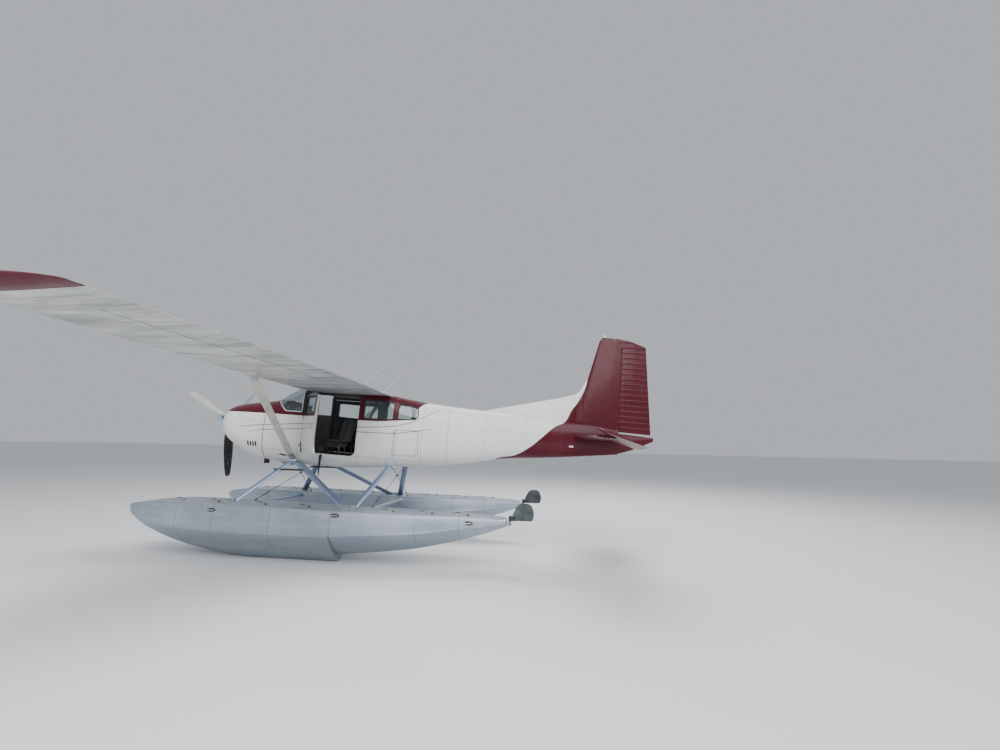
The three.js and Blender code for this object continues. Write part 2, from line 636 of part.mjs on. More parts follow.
function firewall() {
  const half = FIREWALL_THICKNESS / 2;
  return meshOf('firewall', body(2, FIREWALL_X - half, FIREWALL_X + half), skinMetal);
}

// Blade stations: radius, chord, thickness, pitch angle in degrees
const BLADE = [
  { r: 60, chord: 76, thick: 70, pitch: 20 },
  { r: 190, chord: 96, thick: 54, pitch: 42 },
  { r: 330, chord: 150, thick: 27, pitch: 36 },
  { r: 620, chord: 165, thick: 17, pitch: 25 },
  { r: 900, chord: 138, thick: 11, pitch: 18 },
  { r: 1050, chord: 96, thick: 7, pitch: 16 },
  { r: PROPELLER_RADIUS, chord: 44, thick: 5, pitch: 16 },
];
const BLADE_SIDES = 10;

function blade(angleDegrees) {
  const angle = THREE.MathUtils.degToRad(angleDegrees);
  const out = point(0, Math.cos(angle), Math.sin(angle));
  const turn = point(0, -Math.sin(angle), Math.cos(angle));
  const rings = BLADE.map(({ r, chord, thick, pitch }) => Array.from({ length: BLADE_SIDES }, (_, i) => {
    const a = (2 * Math.PI * i) / BLADE_SIDES;
    const [u, v] = [(chord / 2) * Math.cos(a), (thick / 2) * Math.sin(a)];
    const tilt = THREE.MathUtils.degToRad(pitch);
    const across = u * Math.cos(tilt) - v * Math.sin(tilt);
    const fore = u * Math.sin(tilt) + v * Math.cos(tilt);
    return point(PROPELLER_X + fore, 0, 0).addScaledVector(out, r).addScaledVector(turn, across);
  }));
  return loft(rings);
}

const HUB_RADIUS = 95;
const HUB_SIDES = 18;

function propeller() {
  const hub = bar(point(PROPELLER_X - HUB_HALF, 0, 0), point(PROPELLER_X + HUB_HALF, 0, 0),
    HUB_RADIUS, HUB_RADIUS, HUB_SIDES);
  const solid = BLADE_ANGLES.map(blade).reduce((all, one) => all.add(one), hub);
  return meshOf('propeller', solid, strutMetal);
}

// Spinner profile: x, radius
const SPINNER_PROFILE = [[-65, 4], [-45, 28], [0, 56], [60, 86], [120, 112], [170, 132], [225, 150],
  [SPINNER_LENGTH, SPINNER_RADIUS]];
const SPINNER_SKIN = 5;

function turnedShape(profile) {
  const points = [new THREE.Vector2(0, profile[0][0]), ...profile.map(([x, r]) => new THREE.Vector2(r, x)),
    new THREE.Vector2(0, profile[profile.length - 1][0])];
  const geometry = new THREE.LatheGeometry(points, LATHE_SIDES);
  geometry.rotateZ(-Math.PI / 2);
  return fromGeometry(geometry);
}

const BLADE_HOLE = 62;
const BLADE_HOLE_SIDES = 16;
const BLADE_HOLE_FROM = 90;
const BLADE_HOLE_TO = 300;
const PLATE_TAPER = 2;
const LATHE_SIDES = 24;

function spinner() {
  const outer = turnedShape(SPINNER_PROFILE);
  const inner = turnedShape(SPINNER_PROFILE.slice(1).map(([x, r]) => [x + SPINNER_SKIN, r - SPINNER_SKIN]));
  const plateFace = point(PROPELLER_X + HUB_HALF + SEAT_GAP, 0, 0);
  const plate = bar(plateFace, point(SPINNER_LENGTH, 0, 0), SPINNER_RADIUS - PLATE_TAPER, SPINNER_RADIUS,
    LATHE_SIDES);
  const bore = bar(point(PROPELLER_X, 0, 0), point(2 * SPINNER_LENGTH, 0, 0),
    SHAFT_RADIUS + SHAFT_CLEARANCE, SHAFT_RADIUS + SHAFT_CLEARANCE, SHAFT_SIDES);
  let shell = outer.subtract(inner).add(plate.subtract(bore));
  for (const angleDegrees of BLADE_ANGLES) {
    const angle = THREE.MathUtils.degToRad(angleDegrees);
    const along = (r) => point(PROPELLER_X, r * Math.cos(angle), r * Math.sin(angle));
    const hole = bar(along(BLADE_HOLE_FROM), along(BLADE_HOLE_TO), BLADE_HOLE, BLADE_HOLE, BLADE_HOLE_SIDES);
    shell = shell.subtract(hole);
  }
  return meshOf('spinner', shell, strutMetal);
}

// Tail: cone with the stinger under the rudder
const STINGER = [
  { x: 7150, top: 262, bottom: -92, half: 62 },
  { x: 7400, top: 254, bottom: -12, half: 46 },
  { x: 7600, top: 244, bottom: 82, half: 32 },
  { x: TAIL_END_X, top: 232, bottom: 172, half: 18 },
];

const STINGER_SIDES = 16;

function ellipseRing({ x, top, bottom, half }) {
  return Array.from({ length: STINGER_SIDES }, (_, i) => {
    const angle = (2 * Math.PI * i) / STINGER_SIDES;
    return point(x, half * Math.cos(angle), (top + bottom) / 2 + ((top - bottom) / 2) * Math.sin(angle));
  });
}

const TORQUE_TUBE = { radius: 20, half: 140, sides: 16 };
const STABILIZER_SLOT = { x0: 6470, x1: 7030, sides: 130 };
const CONE_END_X = 7225;
const HOLLOW_END_X = 6400;
const RUDDER_ROOM = { low: [7000, -200, 264], high: [8000, 200, 600] };
const TAIL_HALF_WIDTH = 200;

function tailConeSolid() {
  const cone = body(0, TAIL_JOINT_X, CONE_END_X).add(loft(STINGER.map(ellipseRing)));
  const hollow = body(TAIL_WALL, TAIL_JOINT_X - TAIL_WALL, HOLLOW_END_X);
  const hinge = (y) => point(TAIL_HINGE_X, y, TAIL_Z);
  const boreRadius = TORQUE_TUBE.radius + SEAT_GAP;
  const bore = bar(hinge(-TAIL_HALF_WIDTH), hinge(TAIL_HALF_WIDTH), boreRadius, boreRadius, TORQUE_TUBE.sides);
  const room = rudderBlock(RUDDER_NOSE + RUNNING_GAP).intersect(box(RUDDER_ROOM.low, RUDDER_ROOM.high));
  return cone.subtract(hollow).subtract(bore).subtract(room).subtract(stabilizerSlot());
}

// The slot through the tail cone, in the shape of the stabilizer's own section.
function stabilizerSlot() {
  const behind = box([STABILIZER_SLOT.x1 + SEAT_GAP, -TAIL_REACH, 0], [CONE_END_X + REACH, TAIL_REACH, REACH]);
  return tailplaneSolid(SIDES[0], SEAT_GAP).add(tailplaneSolid(SIDES[1], SEAT_GAP)).subtract(behind);
}

const LIGHT_TAPER = 15;
const STINGER_END = STINGER[STINGER.length - 1];
const LIGHT_END = {
  x: TAIL_END_X + LIGHT_LENGTH,
  top: STINGER_END.top - LIGHT_TAPER,
  bottom: STINGER_END.bottom + LIGHT_TAPER,
  half: STINGER_END.half / 2,
};

function tailLight() {
  const rows = [{ ...STINGER_END, x: TAIL_END_X + SEAT_GAP }, LIGHT_END];
  return meshOf('tail_light', loft(rows.map(ellipseRing)), lampGlass);
}

// Upright tail sections: z, nose x, trailing x, thickness
const FIN_SECTIONS = [
  { z: 250, nose: 6478, tail: 7744, thick: 120 },
  { z: 870, nose: 6620, tail: 7690, thick: 104 },
  { z: 1800, nose: 6850, tail: 7610, thick: 66 },
  { z: 1862, nose: 6893, tail: 7590, thick: 30 },
];

// A slim symmetric section: share of the chord, share of the thickness
const SLIM = [[0, 0], [0.02, 0.3], [0.1, 0.75], [0.28, 1], [0.5, 0.86], [0.75, 0.48], [1, 0.05]];

function slimOutline(nose, tail, thick) {
  const at = ([along, share]) => [lerp(nose, tail, along), (share * thick) / 2];
  const upper = SLIM.map(at);
  const lower = SLIM.slice(1).map(at).map(([x, y]) => [x, -y]).reverse();
  return [...upper, ...lower];
}

const finSolid = () => loft(FIN_SECTIONS.map(({ z, nose, tail, thick }) =>
  slimOutline(nose, tail, thick).map(([x, y]) => point(x, y, z))));

const RUDDER_NOSE = 40;
const RUDDER_BOTTOM = [[6900, 300], [8000, 262]];
const RUDDER_TOP = [[7100, 1864], [7360, 1822], [7740, 1686]];
const HORN = [[7093, 1862], [7250, 1655]];
const HORN_GAP = 18;

// A round-nosed block about the upright hinge, open behind it.
function rudderBlock(radius) {
  const nose = Array.from({ length: HINGE_SIDES + 1 }, (_, i) => {
    const angle = Math.PI / 2 + (Math.PI * i) / HINGE_SIDES;
    return [RUDDER_HINGE_X + radius * Math.cos(angle), radius * Math.sin(angle)];
  });
  return planPrism([[RUDDER_HINGE_X + REACH, REACH / 2], [RUDDER_HINGE_X, REACH / 2], ...nose,
    [RUDDER_HINGE_X, -REACH / 2], [RUDDER_HINGE_X + REACH, -REACH / 2]], 0, 3 * REACH);
}

function hornRegion(gap) {
  const [[x0, z0], [x1, z1]] = HORN;
  const outline = [[x0 - gap, z0], [x1 - gap, z1], [x1 + REACH, z1], [x1 + REACH, z0 + REACH],
    [x0 - gap, z0 + REACH]];
  return sidePrism(outline, -REACH, REACH);
}

const RUDDER_PIN_Z = 259.2;
const RUDDER_PIN_TOP = 330;

function aboveRudderBottom() {
  const [[x0, z0], [x1, z1]] = RUDDER_BOTTOM;
  return sidePrism([[x0, z0], [x1, z1], [x1, 3 * REACH], [x0, 3 * REACH]], -REACH, REACH);
}

// The room over the rudder's top, which falls away towards its trailing edge.
function aboveRudderTop() {
  const [first, , last] = RUDDER_TOP;
  return sidePrism([...RUDDER_TOP, [last[0], 3 * REACH], [first[0], 3 * REACH]], -REACH, REACH);
}

function rudder() {
  const region = rudderBlock(RUDDER_NOSE).add(hornRegion(0));
  const leaf = finSolid().intersect(region).intersect(aboveRudderBottom()).subtract(aboveRudderTop());
  const low = point(RUDDER_HINGE_X, 0, RUDDER_PIN_Z);
  const pin = bar(low, point(RUDDER_HINGE_X, 0, RUDDER_PIN_TOP), TRUNNION_RADIUS);
  return meshOf('rudder', leaf.add(pin), maroon);
}

// Room between the fin's rear foot and the end of the tail cone
const FIN_FOOT_ROOM = { low: [7200, -REACH, 0], high: [9000, REACH, 380] };

function fin() {
  const hull = body(-SEAT_GAP, DORSAL_START_X, CONE_END_X - SEAT_GAP);
  const leaf = finSolid().subtract(rudderBlock(RUDDER_NOSE + RUNNING_GAP)).subtract(hornRegion(HORN_GAP));
  const foot = box(FIN_FOOT_ROOM.low, FIN_FOOT_ROOM.high);
  return meshOf('fin', leaf.subtract(hull).subtract(foot), maroon);
}

// Dorsal fairing: x, top z, half width at its foot
const DORSAL = [
  { x: 4990, top: 488, half: 14 },
  { x: 5300, top: 561, half: 30 },
  { x: 5920, top: 709, half: 48 },
  { x: 6320, top: 809, half: 54 },
  { x: 6480, top: 861, half: 54 },
  { x: 6577, top: 940, half: 52 },
  { x: 6680, top: 1125, half: 46 },
];

const DORSAL_START_X = 4600;
const DORSAL_FOOT_Z = 250;
const DORSAL_SPINE_Z = 440;
const DORSAL_RIDGE = { half: 12, down: 14 };
const DORSAL_JOINT = [[6477, 250], [6619, 870], [6775, 1500], [7700, 1500], [7700, 250]];

function dorsalRing({ x, top, half }) {
  const shoulder = (DORSAL_SPINE_Z + top) / 2;
  const right = [[half, DORSAL_FOOT_Z], [half * 0.7, shoulder], [DORSAL_RIDGE.half, top - DORSAL_RIDGE.down]];
  const left = right.map(([y, z]) => [-y, z]).reverse();
  return [...right, [0, top], ...left].map(([y, z]) => point(x, y, z));
}

function dorsal() {
  const hull = body(-SEAT_GAP, DORSAL_START_X, CONE_END_X);
  const joint = sidePrism(DORSAL_JOINT, -REACH, REACH);
  const fairing = loft(DORSAL.map(dorsalRing)).subtract(hull).subtract(joint);
  return meshOf('dorsal_fairing', largestOf(fairing), white);
}

// Tailplane: y, nose x, trailing x, thickness
const TAILPLANE = [
  { y: 0, nose: 6480, tail: 7560, thick: 78 },
  { y: 1455, nose: 6765, tail: 7475, thick: 50 },
  { y: 1610, nose: 6800, tail: 7462, thick: 34 },
  { y: TAIL_HALF_SPAN, nose: 6835, tail: 7430, thick: 14 },
];
const HORN_Y = 1462;
const ELEVATOR_NOSE = 32;
const TAIL_REACH = 2000;
const ELEVATOR_PLAN = [[6900, 112], [7092, 112], [7800, 372], [7800, TAIL_REACH], [6500, TAIL_REACH],
  [6500, 112]];

// The room outboard of a line for the elevator's balance horn.
const hornRoom = (inner) => box([6000, inner, 0], [8000, TAIL_REACH, 2 * TAIL_HALF_WIDTH]);

// The slim bar that carries the two sides of the stabilizer through the tail cone
const CARRY_BAR = { short: 80, half: 10, height: 20 };

function tailplaneSolid(side, grow = 0) {
  const rings = TAILPLANE.map(({ y, nose, tail, thick }) =>
    slimOutline(nose - grow, tail, thick + 2 * grow).map(([x, z]) => point(x, y, z + TAIL_Z)));
  return mirrored(loft(rings), side);
}

function elevatorBlock(radius, inner, outer) {
  return hingeBlock(point(TAIL_HINGE_X, inner, TAIL_Z), point(TAIL_HINGE_X, outer, TAIL_Z), radius, radius);
}

function stabilizer() {
  const horn = hornRoom(HORN_Y - RUNNING_GAP);
  const halves = SIDES.map((side) => {
    const slot = mirrored(elevatorBlock(ELEVATOR_NOSE + RUNNING_GAP, 0, TAIL_REACH).add(horn), side);
    return tailplaneSolid(side).subtract(slot);
  });
  const { x0, x1, sides } = STABILIZER_SLOT;
  const behindSlot = box([x1, -sides, 0], [x1 + REACH, sides, REACH]);
  const { short, half, height } = CARRY_BAR;
  const carry = box([x0 + short, -half, TAIL_Z - height], [x1 - short, half, TAIL_Z + height]);
  return meshOf('stabilizer', halves[0].add(halves[1]).add(carry).subtract(behindSlot), maroon);
}

function elevator() {
  const { radius, half, sides } = TORQUE_TUBE;
  const hinge = (y) => point(TAIL_HINGE_X, y, TAIL_Z);
  const tube = bar(hinge(-half), hinge(half), radius, radius, sides);
  const plan = planPrism(ELEVATOR_PLAN, 0, 2 * TAIL_HALF_WIDTH);
  const block = elevatorBlock(ELEVATOR_NOSE, 0, TAIL_REACH).add(hornRoom(HORN_Y)).intersect(plan);
  const halves = SIDES.map((side) => tailplaneSolid(side).intersect(mirrored(block, side)));
  return meshOf('elevator', halves[0].add(halves[1]).add(tube), maroon);
}

// Anti-collision beacon on the fin's top, ahead of the rudder horn
const BEACON = { x: 6935, z: 1862, foot: 24, shoulder: 22.5, crown: 10.5, shoulderZ: 1899.2, topZ: 1924 };

function beacon() {
  const { x, z, foot, shoulder, crown, shoulderZ, topZ } = BEACON;
  const middle = point(x, 0, shoulderZ);
  const dome = bar(point(x, 0, z + SEAT_GAP), middle, foot, shoulder)
    .add(bar(middle, point(x, 0, topZ), shoulder, crown));
  return meshOf('beacon', dome, lampGlass);
}

// Exhaust pipe through the cowling's lower outlet
const EXHAUST = { from: point(1100, -150, -150), to: point(1215, -195, -735), radius: 36, sides: 14 };

function exhaust() {
  const { from, to, radius, sides } = EXHAUST;
  const { low, high } = ACCESSORY_CASE;
  const caseRoom = box([low[0] - radius, 2 * low[1], low[2] - SEAT_GAP], [high[0], 2 * high[1], high[2]]);
  return meshOf('exhaust_pipe', bar(from, to, radius, radius, sides).subtract(caseRoom), engineMetal);
}

// Wing struts: lower and upper ends
const STRUT_FOOT = point(1868, 505, -585);
const STRUT_HEAD = point(2175, 2350, 640);
const STRUT_CHORD = 138;
const STRUT_THICKNESS = 46;
const STRUT_SIDES = 14;

function wingStrut(side) {
  const [inner, outer] = [STRUT_HEAD.y - REACH / 2, STRUT_HEAD.y + REACH / 2];
  const underWing = wingSolid(inner, outer).translate([0, 0, -SEAT_GAP]);
  const aboveHead = box([0, 0, STRUT_HEAD.z], [3 * REACH, 3 * REACH, STRUT_HEAD.z + REACH]);
  const strut = fairedBar(STRUT_FOOT, STRUT_HEAD, STRUT_CHORD, STRUT_THICKNESS, STRUT_SIDES)
    .subtract(underWing).subtract(aboveHead).subtract(fittingBlock(FRONT_FITTING, SIDES[1], SEAT_GAP));
  return meshOf(`wing_strut_${side.name}`, mirrored(largestOf(strut), side), creamPaint);
}

// Cabin fittings
const FLOOR_Z = -520;
const FLOOR_THICKNESS = 24;
const FLOOR_FRONT_X = 1300;
const PANEL_X = 1500;

const CAVITY_START = FIREWALL_X - 20;

// The room inside the cabin walls, less a gap.
const cabinRoom = (gap) => body(CABIN_WALL + gap, CAVITY_START, BULKHEAD_X);

function cabinFloor() {
  const plate = box([FLOOR_FRONT_X, -REACH, FLOOR_Z - FLOOR_THICKNESS],
    [BULKHEAD_X - 10 * SEAT_GAP, REACH, FLOOR_Z]);
  return meshOf('cabin_floor', cabinRoom(SEAT_GAP).intersect(plate), darkTrim);
}

const BOARD = { thickness: 60, low: -80, high: 360 };
const SEAT_Y = 235;

// Control wheels: height, shaft, and the wheel's bar with its two upright horns
const YOKE = { z: 90, root: 40, from: 262, to: 290, half: 130, bar: 12, horn: 14, top: 190 };
const YOKE_SHAFT = { radius: 14, sides: 10 };

function yoke(side) {
  const y = SEAT_Y * side.y;
  const { z, root, from, to, half, horn, top } = YOKE;
  const [low, high] = [z - YOKE.bar, z + YOKE.bar];
  const column = bar(point(PANEL_X + root, y, z), point(PANEL_X + from + YOKE.bar, y, z),
    YOKE_SHAFT.radius, YOKE_SHAFT.radius, YOKE_SHAFT.sides);
  const wheel = box([PANEL_X + from, y - half, low], [PANEL_X + to, y + half, high]);
  const upright = (centre) => box([PANEL_X + from, centre - horn, low], [PANEL_X + to, centre + horn, top]);
  return column.add(wheel).add(upright(y - half)).add(upright(y + half));
}

function instrumentPanel() {
  const slab = box([PANEL_X, -REACH, BOARD.low], [PANEL_X + BOARD.thickness, REACH, BOARD.high]);
  const board = cabinRoom(SEAT_GAP).intersect(slab);
  return meshOf('instrument_panel', SIDES.reduce((all, side) => all.add(yoke(side)), board), darkTrim);
}

// Seats: front x, middle y, half width, length of the cushion, height of the back's top
const SEATS = [
  { name: 'seat_left', x: 2180, y: -SEAT_Y, half: 205, long: 460, back: 175 },
  { name: 'seat_right', x: 2180, y: SEAT_Y, half: 205, long: 460, back: 175 },
  { name: 'rear_bench', x: 3010, y: 0, half: 400, long: 430, back: 190 },
];
const CUSHION = { top: -230, thickness: 110 };
const BACKREST = { foot: 60, sunk: 90, thickness: 90, lean: 80, proud: 10 };
const RAILS = { inset: 90, short: 40, width: 40, bed: 5, arch: 40 };

function seat({ name, x, y, half, long, back }) {
  const under = CUSHION.top - CUSHION.thickness;
  const cushion = box([x, y - half, under], [x + long, y + half, CUSHION.top]);
  const rear = x + long;
  const foot = CUSHION.top - BACKREST.foot;
  const backrest = sidePrism([[rear - BACKREST.sunk, foot], [rear + BACKREST.proud, foot],
    [rear + BACKREST.lean, back], [rear + BACKREST.lean - BACKREST.thickness, back]], y - half, y + half);
  const inner = half - RAILS.inset;
  const rails = box([x + RAILS.short, y - inner, FLOOR_Z + SEAT_GAP],
    [rear - RAILS.short, y + inner, under + RAILS.bed]);
  const tunnel = box([x - 1, y - inner + RAILS.width, FLOOR_Z - 1],
    [rear, y + inner - RAILS.width, under - RAILS.arch]);
  return meshOf(name, cushion.add(backrest).add(rails).subtract(tunnel), darkTrim);
}

// Floats: x, deck z, chine z, keel z, half deck, half chine
const FLOAT_FRONT = [
  { x: -440, deck: 690, chine: 655, keel: 615, top: 42, side: 45 },
  { x: -330, deck: 715, chine: 600, keel: 505, top: 130, side: 142 },
  { x: -60, deck: 765, chine: 520, keel: 345, top: 235, side: 262 },
  { x: 450, deck: 796, chine: 450, keel: 175, top: 310, side: 348 },
  { x: 1100, deck: 788, chine: 412, keel: 50, top: 345, side: 386 },
  { x: 1700, deck: 775, chine: 400, keel: 0, top: 360, side: 402 },
  { x: STEP_X, deck: 746, chine: 400, keel: 0, top: 352, side: 398 },
];
const FLOAT_REAR = [
  { x: STEP_X, deck: 746, chine: 412, keel: 95, top: 352, side: 384 },
  { x: 4100, deck: 738, chine: 470, keel: 215, top: 290, side: 326 },
  { x: 5000, deck: 728, chine: 575, keel: 415, top: 185, side: 205 },
  { x: 5530, deck: 698, chine: 642, keel: 590, top: 85, side: 92 },
];
const DECK_CROWN = 9;
const DECK_EDGE = { share: 0.8, crown: 0.4, down: 10 };
const VEE = { share: 0.5, depth: 0.62 };
const KEEL_HALF = 18;

function floatRing({ x, deck, chine, keel, top, side }) {
  const right = [[0, deck + DECK_CROWN], [top * DECK_EDGE.share, deck + DECK_CROWN * DECK_EDGE.crown],
    [top, deck - DECK_EDGE.down], [side, chine], [side * VEE.share, lerp(chine, keel, VEE.depth)]];
  const left = right.slice(1).reverse().map(([y, z]) => [-y, z]);
  const keelStrip = [[KEEL_HALF, keel], [-KEEL_HALF, keel]];
  return [...right, ...keelStrip, ...left].map(([y, z]) => point(x, y + FLOAT_Y, z));
}

function floatSolid() {
  return loft(FLOAT_FRONT.map(floatRing)).add(loft(FLOAT_REAR.map(floatRing))).add(sternLugs());
}

// Float legs and spreader bars: faired tubes between the airframe fittings and the decks
const LEG_FRONT_X = 1210;
const LEG_AFT_X = 3080;
const LEG_REAR_X = 3190;
const LEG_Y = 1060;
const LEG_CHORD = 98;
const LEG_THICKNESS = 40;
const PAD = { halfLength: 52, halfWidth: 45, height: 30 };

// A point of the airframe, carried into the frame of the level floats.
function rigged(p) {
  const [c, s] = [Math.cos(RIGGING_ANGLE), Math.sin(RIGGING_ANGLE)];
  return point(p.x * c + p.z * s, p.y, p.z * c - p.x * s + SPINNER_HEIGHT);
}

// A point of the deck's middle line.
function onDeck(x, y) {
  const rows = x < STEP_X ? FLOAT_FRONT : FLOAT_REAR;
  const next = rows.findIndex((row) => row.x >= x);
  const [a, b] = [rows[next - 1], rows[next]];
  return point(x, y, lerp(a.deck, b.deck, (x - a.x) / (b.x - a.x)) + DECK_CROWN);
}

// The float and the room just over its deck, which trims what stands on it.
const deckTrim = (floatBlock) => floatBlock.add(floatBlock.translate([0, 0, SEAT_GAP]));

function deckPad(x, y) {
  const { z } = onDeck(x, y);
  return box([x - PAD.halfLength, y - PAD.halfWidth, z - PAD.height],
    [x + PAD.halfLength, y + PAD.halfWidth, z + PAD.height]);
}

const fittingBottom = ({ z, deep }) => z - deep / 2;

// A point inside a fitting, inboard of its outer face and above its lower face.
const legHead = (fitting, inboard, lift) =>
  rigged(point(fitting.x, fitting.y + FITTING_PROUD - inboard, fittingBottom(fitting) + lift));

// Carries a solid from the airframe's frame into the frame of the level floats.
const riggedSolid = (solid) =>
  solid.rotate([0, THREE.MathUtils.radToDeg(RIGGING_ANGLE), 0]).translate([0, 0, SPINNER_HEIGHT]);

// Everything above the lower face of a fitting, less a gap.
function aboveFitting(fitting) {
  const low = fittingBottom(fitting) - SEAT_GAP;
  return riggedSolid(box([fitting.x - REACH, -2 * REACH, low], [fitting.x + REACH, 2 * REACH, low + REACH]));
}

// Float legs: which fitting carries them, and where they meet the deck
const LEGS = [
  { name: 'front_legs', fitting: FRONT_FITTING, feet: [LEG_FRONT_X, LEG_AFT_X] },
  { name: 'rear_leg', fitting: REAR_FITTING, feet: [LEG_REAR_X] },
];

// The socket that takes the heads of the legs: how far it reaches down, its width and thickness
const SOCKET = { reach: 84, chord: 200, thickness: 56, rake: 22, sides: 8 };
const LEG_HEAD_INBOARD = 66;
const LEG_HEAD_LIFT = 30;

function legSocket(fitting) {
  const head = legHead(fitting, LEG_HEAD_INBOARD, LEG_HEAD_LIFT);
  const down = onDeck(head.x + SOCKET.rake, LEG_Y).sub(head).normalize();
  const end = head.clone().addScaledVector(down, LEG_HEAD_LIFT + SOCKET.reach);
  return fairedBar(end, head, SOCKET.chord, SOCKET.thickness, SOCKET.sides);
}

function floatLegs({ name, fitting, feet }, side, floatBlock) {
  const head = legHead(fitting, LEG_HEAD_INBOARD, LEG_HEAD_LIFT);
  let legs = legSocket(fitting);
  for (const x of feet) {
    const foot = onDeck(x, LEG_Y).sub(point(0, 0, PAD.height));
    legs = legs.add(fairedBar(foot, head, LEG_CHORD, LEG_THICKNESS)).add(deckPad(x, LEG_Y));
  }
  const trimmed = legs.subtract(aboveFitting(fitting)).subtract(deckTrim(floatBlock));
  return meshOf(`${name}_${side.name}`, mirrored(largestOf(trimmed), side), strutMetal);
}

// Spreader bars between the floats' inner sides
const SPREADERS = [
  { name: 'front_spreader', x: LEG_FRONT_X + 105, z: 712 },
  { name: 'rear_spreader', x: LEG_REAR_X + 110, z: 690 },
];
const SPREADER_CHORD = 84;
const SPREADER_THICKNESS = 46;
const SPREADER_SIDES = 12;
const SPREADER_REACH = 880;

function spreader({ name, x, z }, floatBlock) {
  const ring = (y) => Array.from({ length: SPREADER_SIDES }, (_, i) => {
    const angle = (2 * Math.PI * i) / SPREADER_SIDES;
    return point(x + (SPREADER_CHORD / 2) * Math.cos(angle), y,
      z + (SPREADER_THICKNESS / 2) * Math.sin(angle));
  });
  const sides = floatBlock.add(floatBlock.translate([0, -SEAT_GAP, 0]));
  const tube = loft([ring(-SPREADER_REACH), ring(SPREADER_REACH)]).subtract(sides)
    .subtract(sides.mirror([0, 1, 0]));
  return meshOf(name, largestOf(tube), strutMetal);
}

// Crossed brace wires from each fitting to the other float's deck, clamped where they cross
const WIRE_RADIUS = 5;
const WIRE_SIDES = 6;
const WIRE_SUNK = 12;
const WIRE_CLAMP = { radius: 16, length: 44, sides: 10 };
const WIRES = [
  { name: 'front_brace_wires', fitting: FRONT_FITTING, x: LEG_FRONT_X + 250 },
  { name: 'rear_brace_wires', fitting: REAR_FITTING, x: LEG_REAR_X + 230 },
];
const WIRE_DECK_Y = 870;

function braceWires({ name, fitting, x }, floatBlock) {
  const lugEnd = fittingBottom(fitting) - LUG.depth;
  const head = rigged(point(fitting.x, fitting.y - LUG.inboard, lugEnd + WIRE_SUNK));
  const foot = onDeck(x, WIRE_DECK_Y).sub(point(0, 0, 2 * WIRE_SUNK));
  const wire = (s) => bar(point(head.x, s * head.y, head.z), point(foot.x, -s * foot.y, foot.z),
    WIRE_RADIUS, WIRE_RADIUS, WIRE_SIDES);
  const share = head.y / (head.y + foot.y);
  const middle = point(lerp(head.x, foot.x, share), 0, lerp(head.z, foot.z, share));
  const { radius, length, sides } = WIRE_CLAMP;
  const clamp = bar(middle.clone().add(point(-length / 2, 0, 0)), middle.clone().add(point(length / 2, 0, 0)),
    radius, radius, sides);
  let cross = clamp.add(wire(1)).add(wire(-1));
  for (const side of SIDES) {
    cross = cross.subtract(mirrored(deckTrim(floatBlock), side))
      .subtract(riggedSolid(lugBlock(fitting, side, SEAT_GAP)));
  }
  return meshOf(name, largestOf(cross), strutMetal);
}

function largestOf(solid) {
  return solid.decompose().sort((a, b) => b.volume() - a.volume())[0];
}

// Water rudders: steering head on the stern, blade swung up to its parked place
const STEERING = { x: 5580, radius: 17, bottom: 598, top: 735, clearance: 0.8 };
const STERN_LUGS = { from: 5505, to: 5604, half: 28, heights: [604, 640], thickness: 20 };
const FORK = { bottom: 670, half: 15, slotHalf: 5.6, slotDepth: 42, reach: 24 };
const BLADE_PIVOT = { x: 5640, z: 700, radius: 6, clearance: 0.8 };
const WATER_BLADE = { half: 5, outline: [[5618, 672, 0], [5900, 672, 30], [5930, 770, 60], [5880, 915, 70],
  [5700, 915, 70], [5618, 765, 0]] };

// Drilled lugs on the stern in which the steering post turns.
function sternLugs() {
  const post = bar(point(STEERING.x, FLOAT_Y, 0), point(STEERING.x, FLOAT_Y, 2 * STEERING.top),
    STEERING.radius + STEERING.clearance, STEERING.radius + STEERING.clearance, 12);
  const { from, to, half, heights, thickness } = STERN_LUGS;
  const lugs = heights.map((z) => box([from, FLOAT_Y - half, z], [to, FLOAT_Y + half, z + thickness]))
    .reduce((all, one) => all.add(one));
  return lugs.subtract(post);
}

const pivotPin = (y, half, radius) =>
  bar(point(BLADE_PIVOT.x, y - half, BLADE_PIVOT.z), point(BLADE_PIVOT.x, y + half, BLADE_PIVOT.z), radius);

function rudderHead(side) {
  const y = FLOAT_Y * side.y;
  const { x, radius, bottom, top } = STEERING;
  const post = bar(point(x, y, bottom), point(x, y, top - 10), radius);
  const forkEnd = BLADE_PIVOT.x + FORK.reach;
  const fork = box([x - radius, y - FORK.half, FORK.bottom], [forkEnd, y + FORK.half, top]);
  const slot = box([BLADE_PIVOT.x - FORK.slotDepth, y - FORK.slotHalf, FORK.bottom - 1],
    [forkEnd + 1, y + FORK.slotHalf, top + 1]);
  const head = post.add(fork).subtract(slot).add(pivotPin(y, FORK.half - 2, BLADE_PIVOT.radius));
  return meshOf(`water_rudder_head_${side.name}`, head, strutMetal);
}

function waterRudderBlade(side) {
  const y = FLOAT_Y * side.y;
  const plate = sidePrism(rounded(WATER_BLADE.outline), y - WATER_BLADE.half, y + WATER_BLADE.half)
    .subtract(pivotPin(y, FORK.half, BLADE_PIVOT.radius + BLADE_PIVOT.clearance));
  return meshOf(`water_rudder_blade_${side.name}`, plate, darkTrim);
}

// Assembly
const airframe = new THREE.Group();
airframe.rotation.y = RIGGING_ANGLE;
airframe.position.z = SPINNER_HEIGHT;

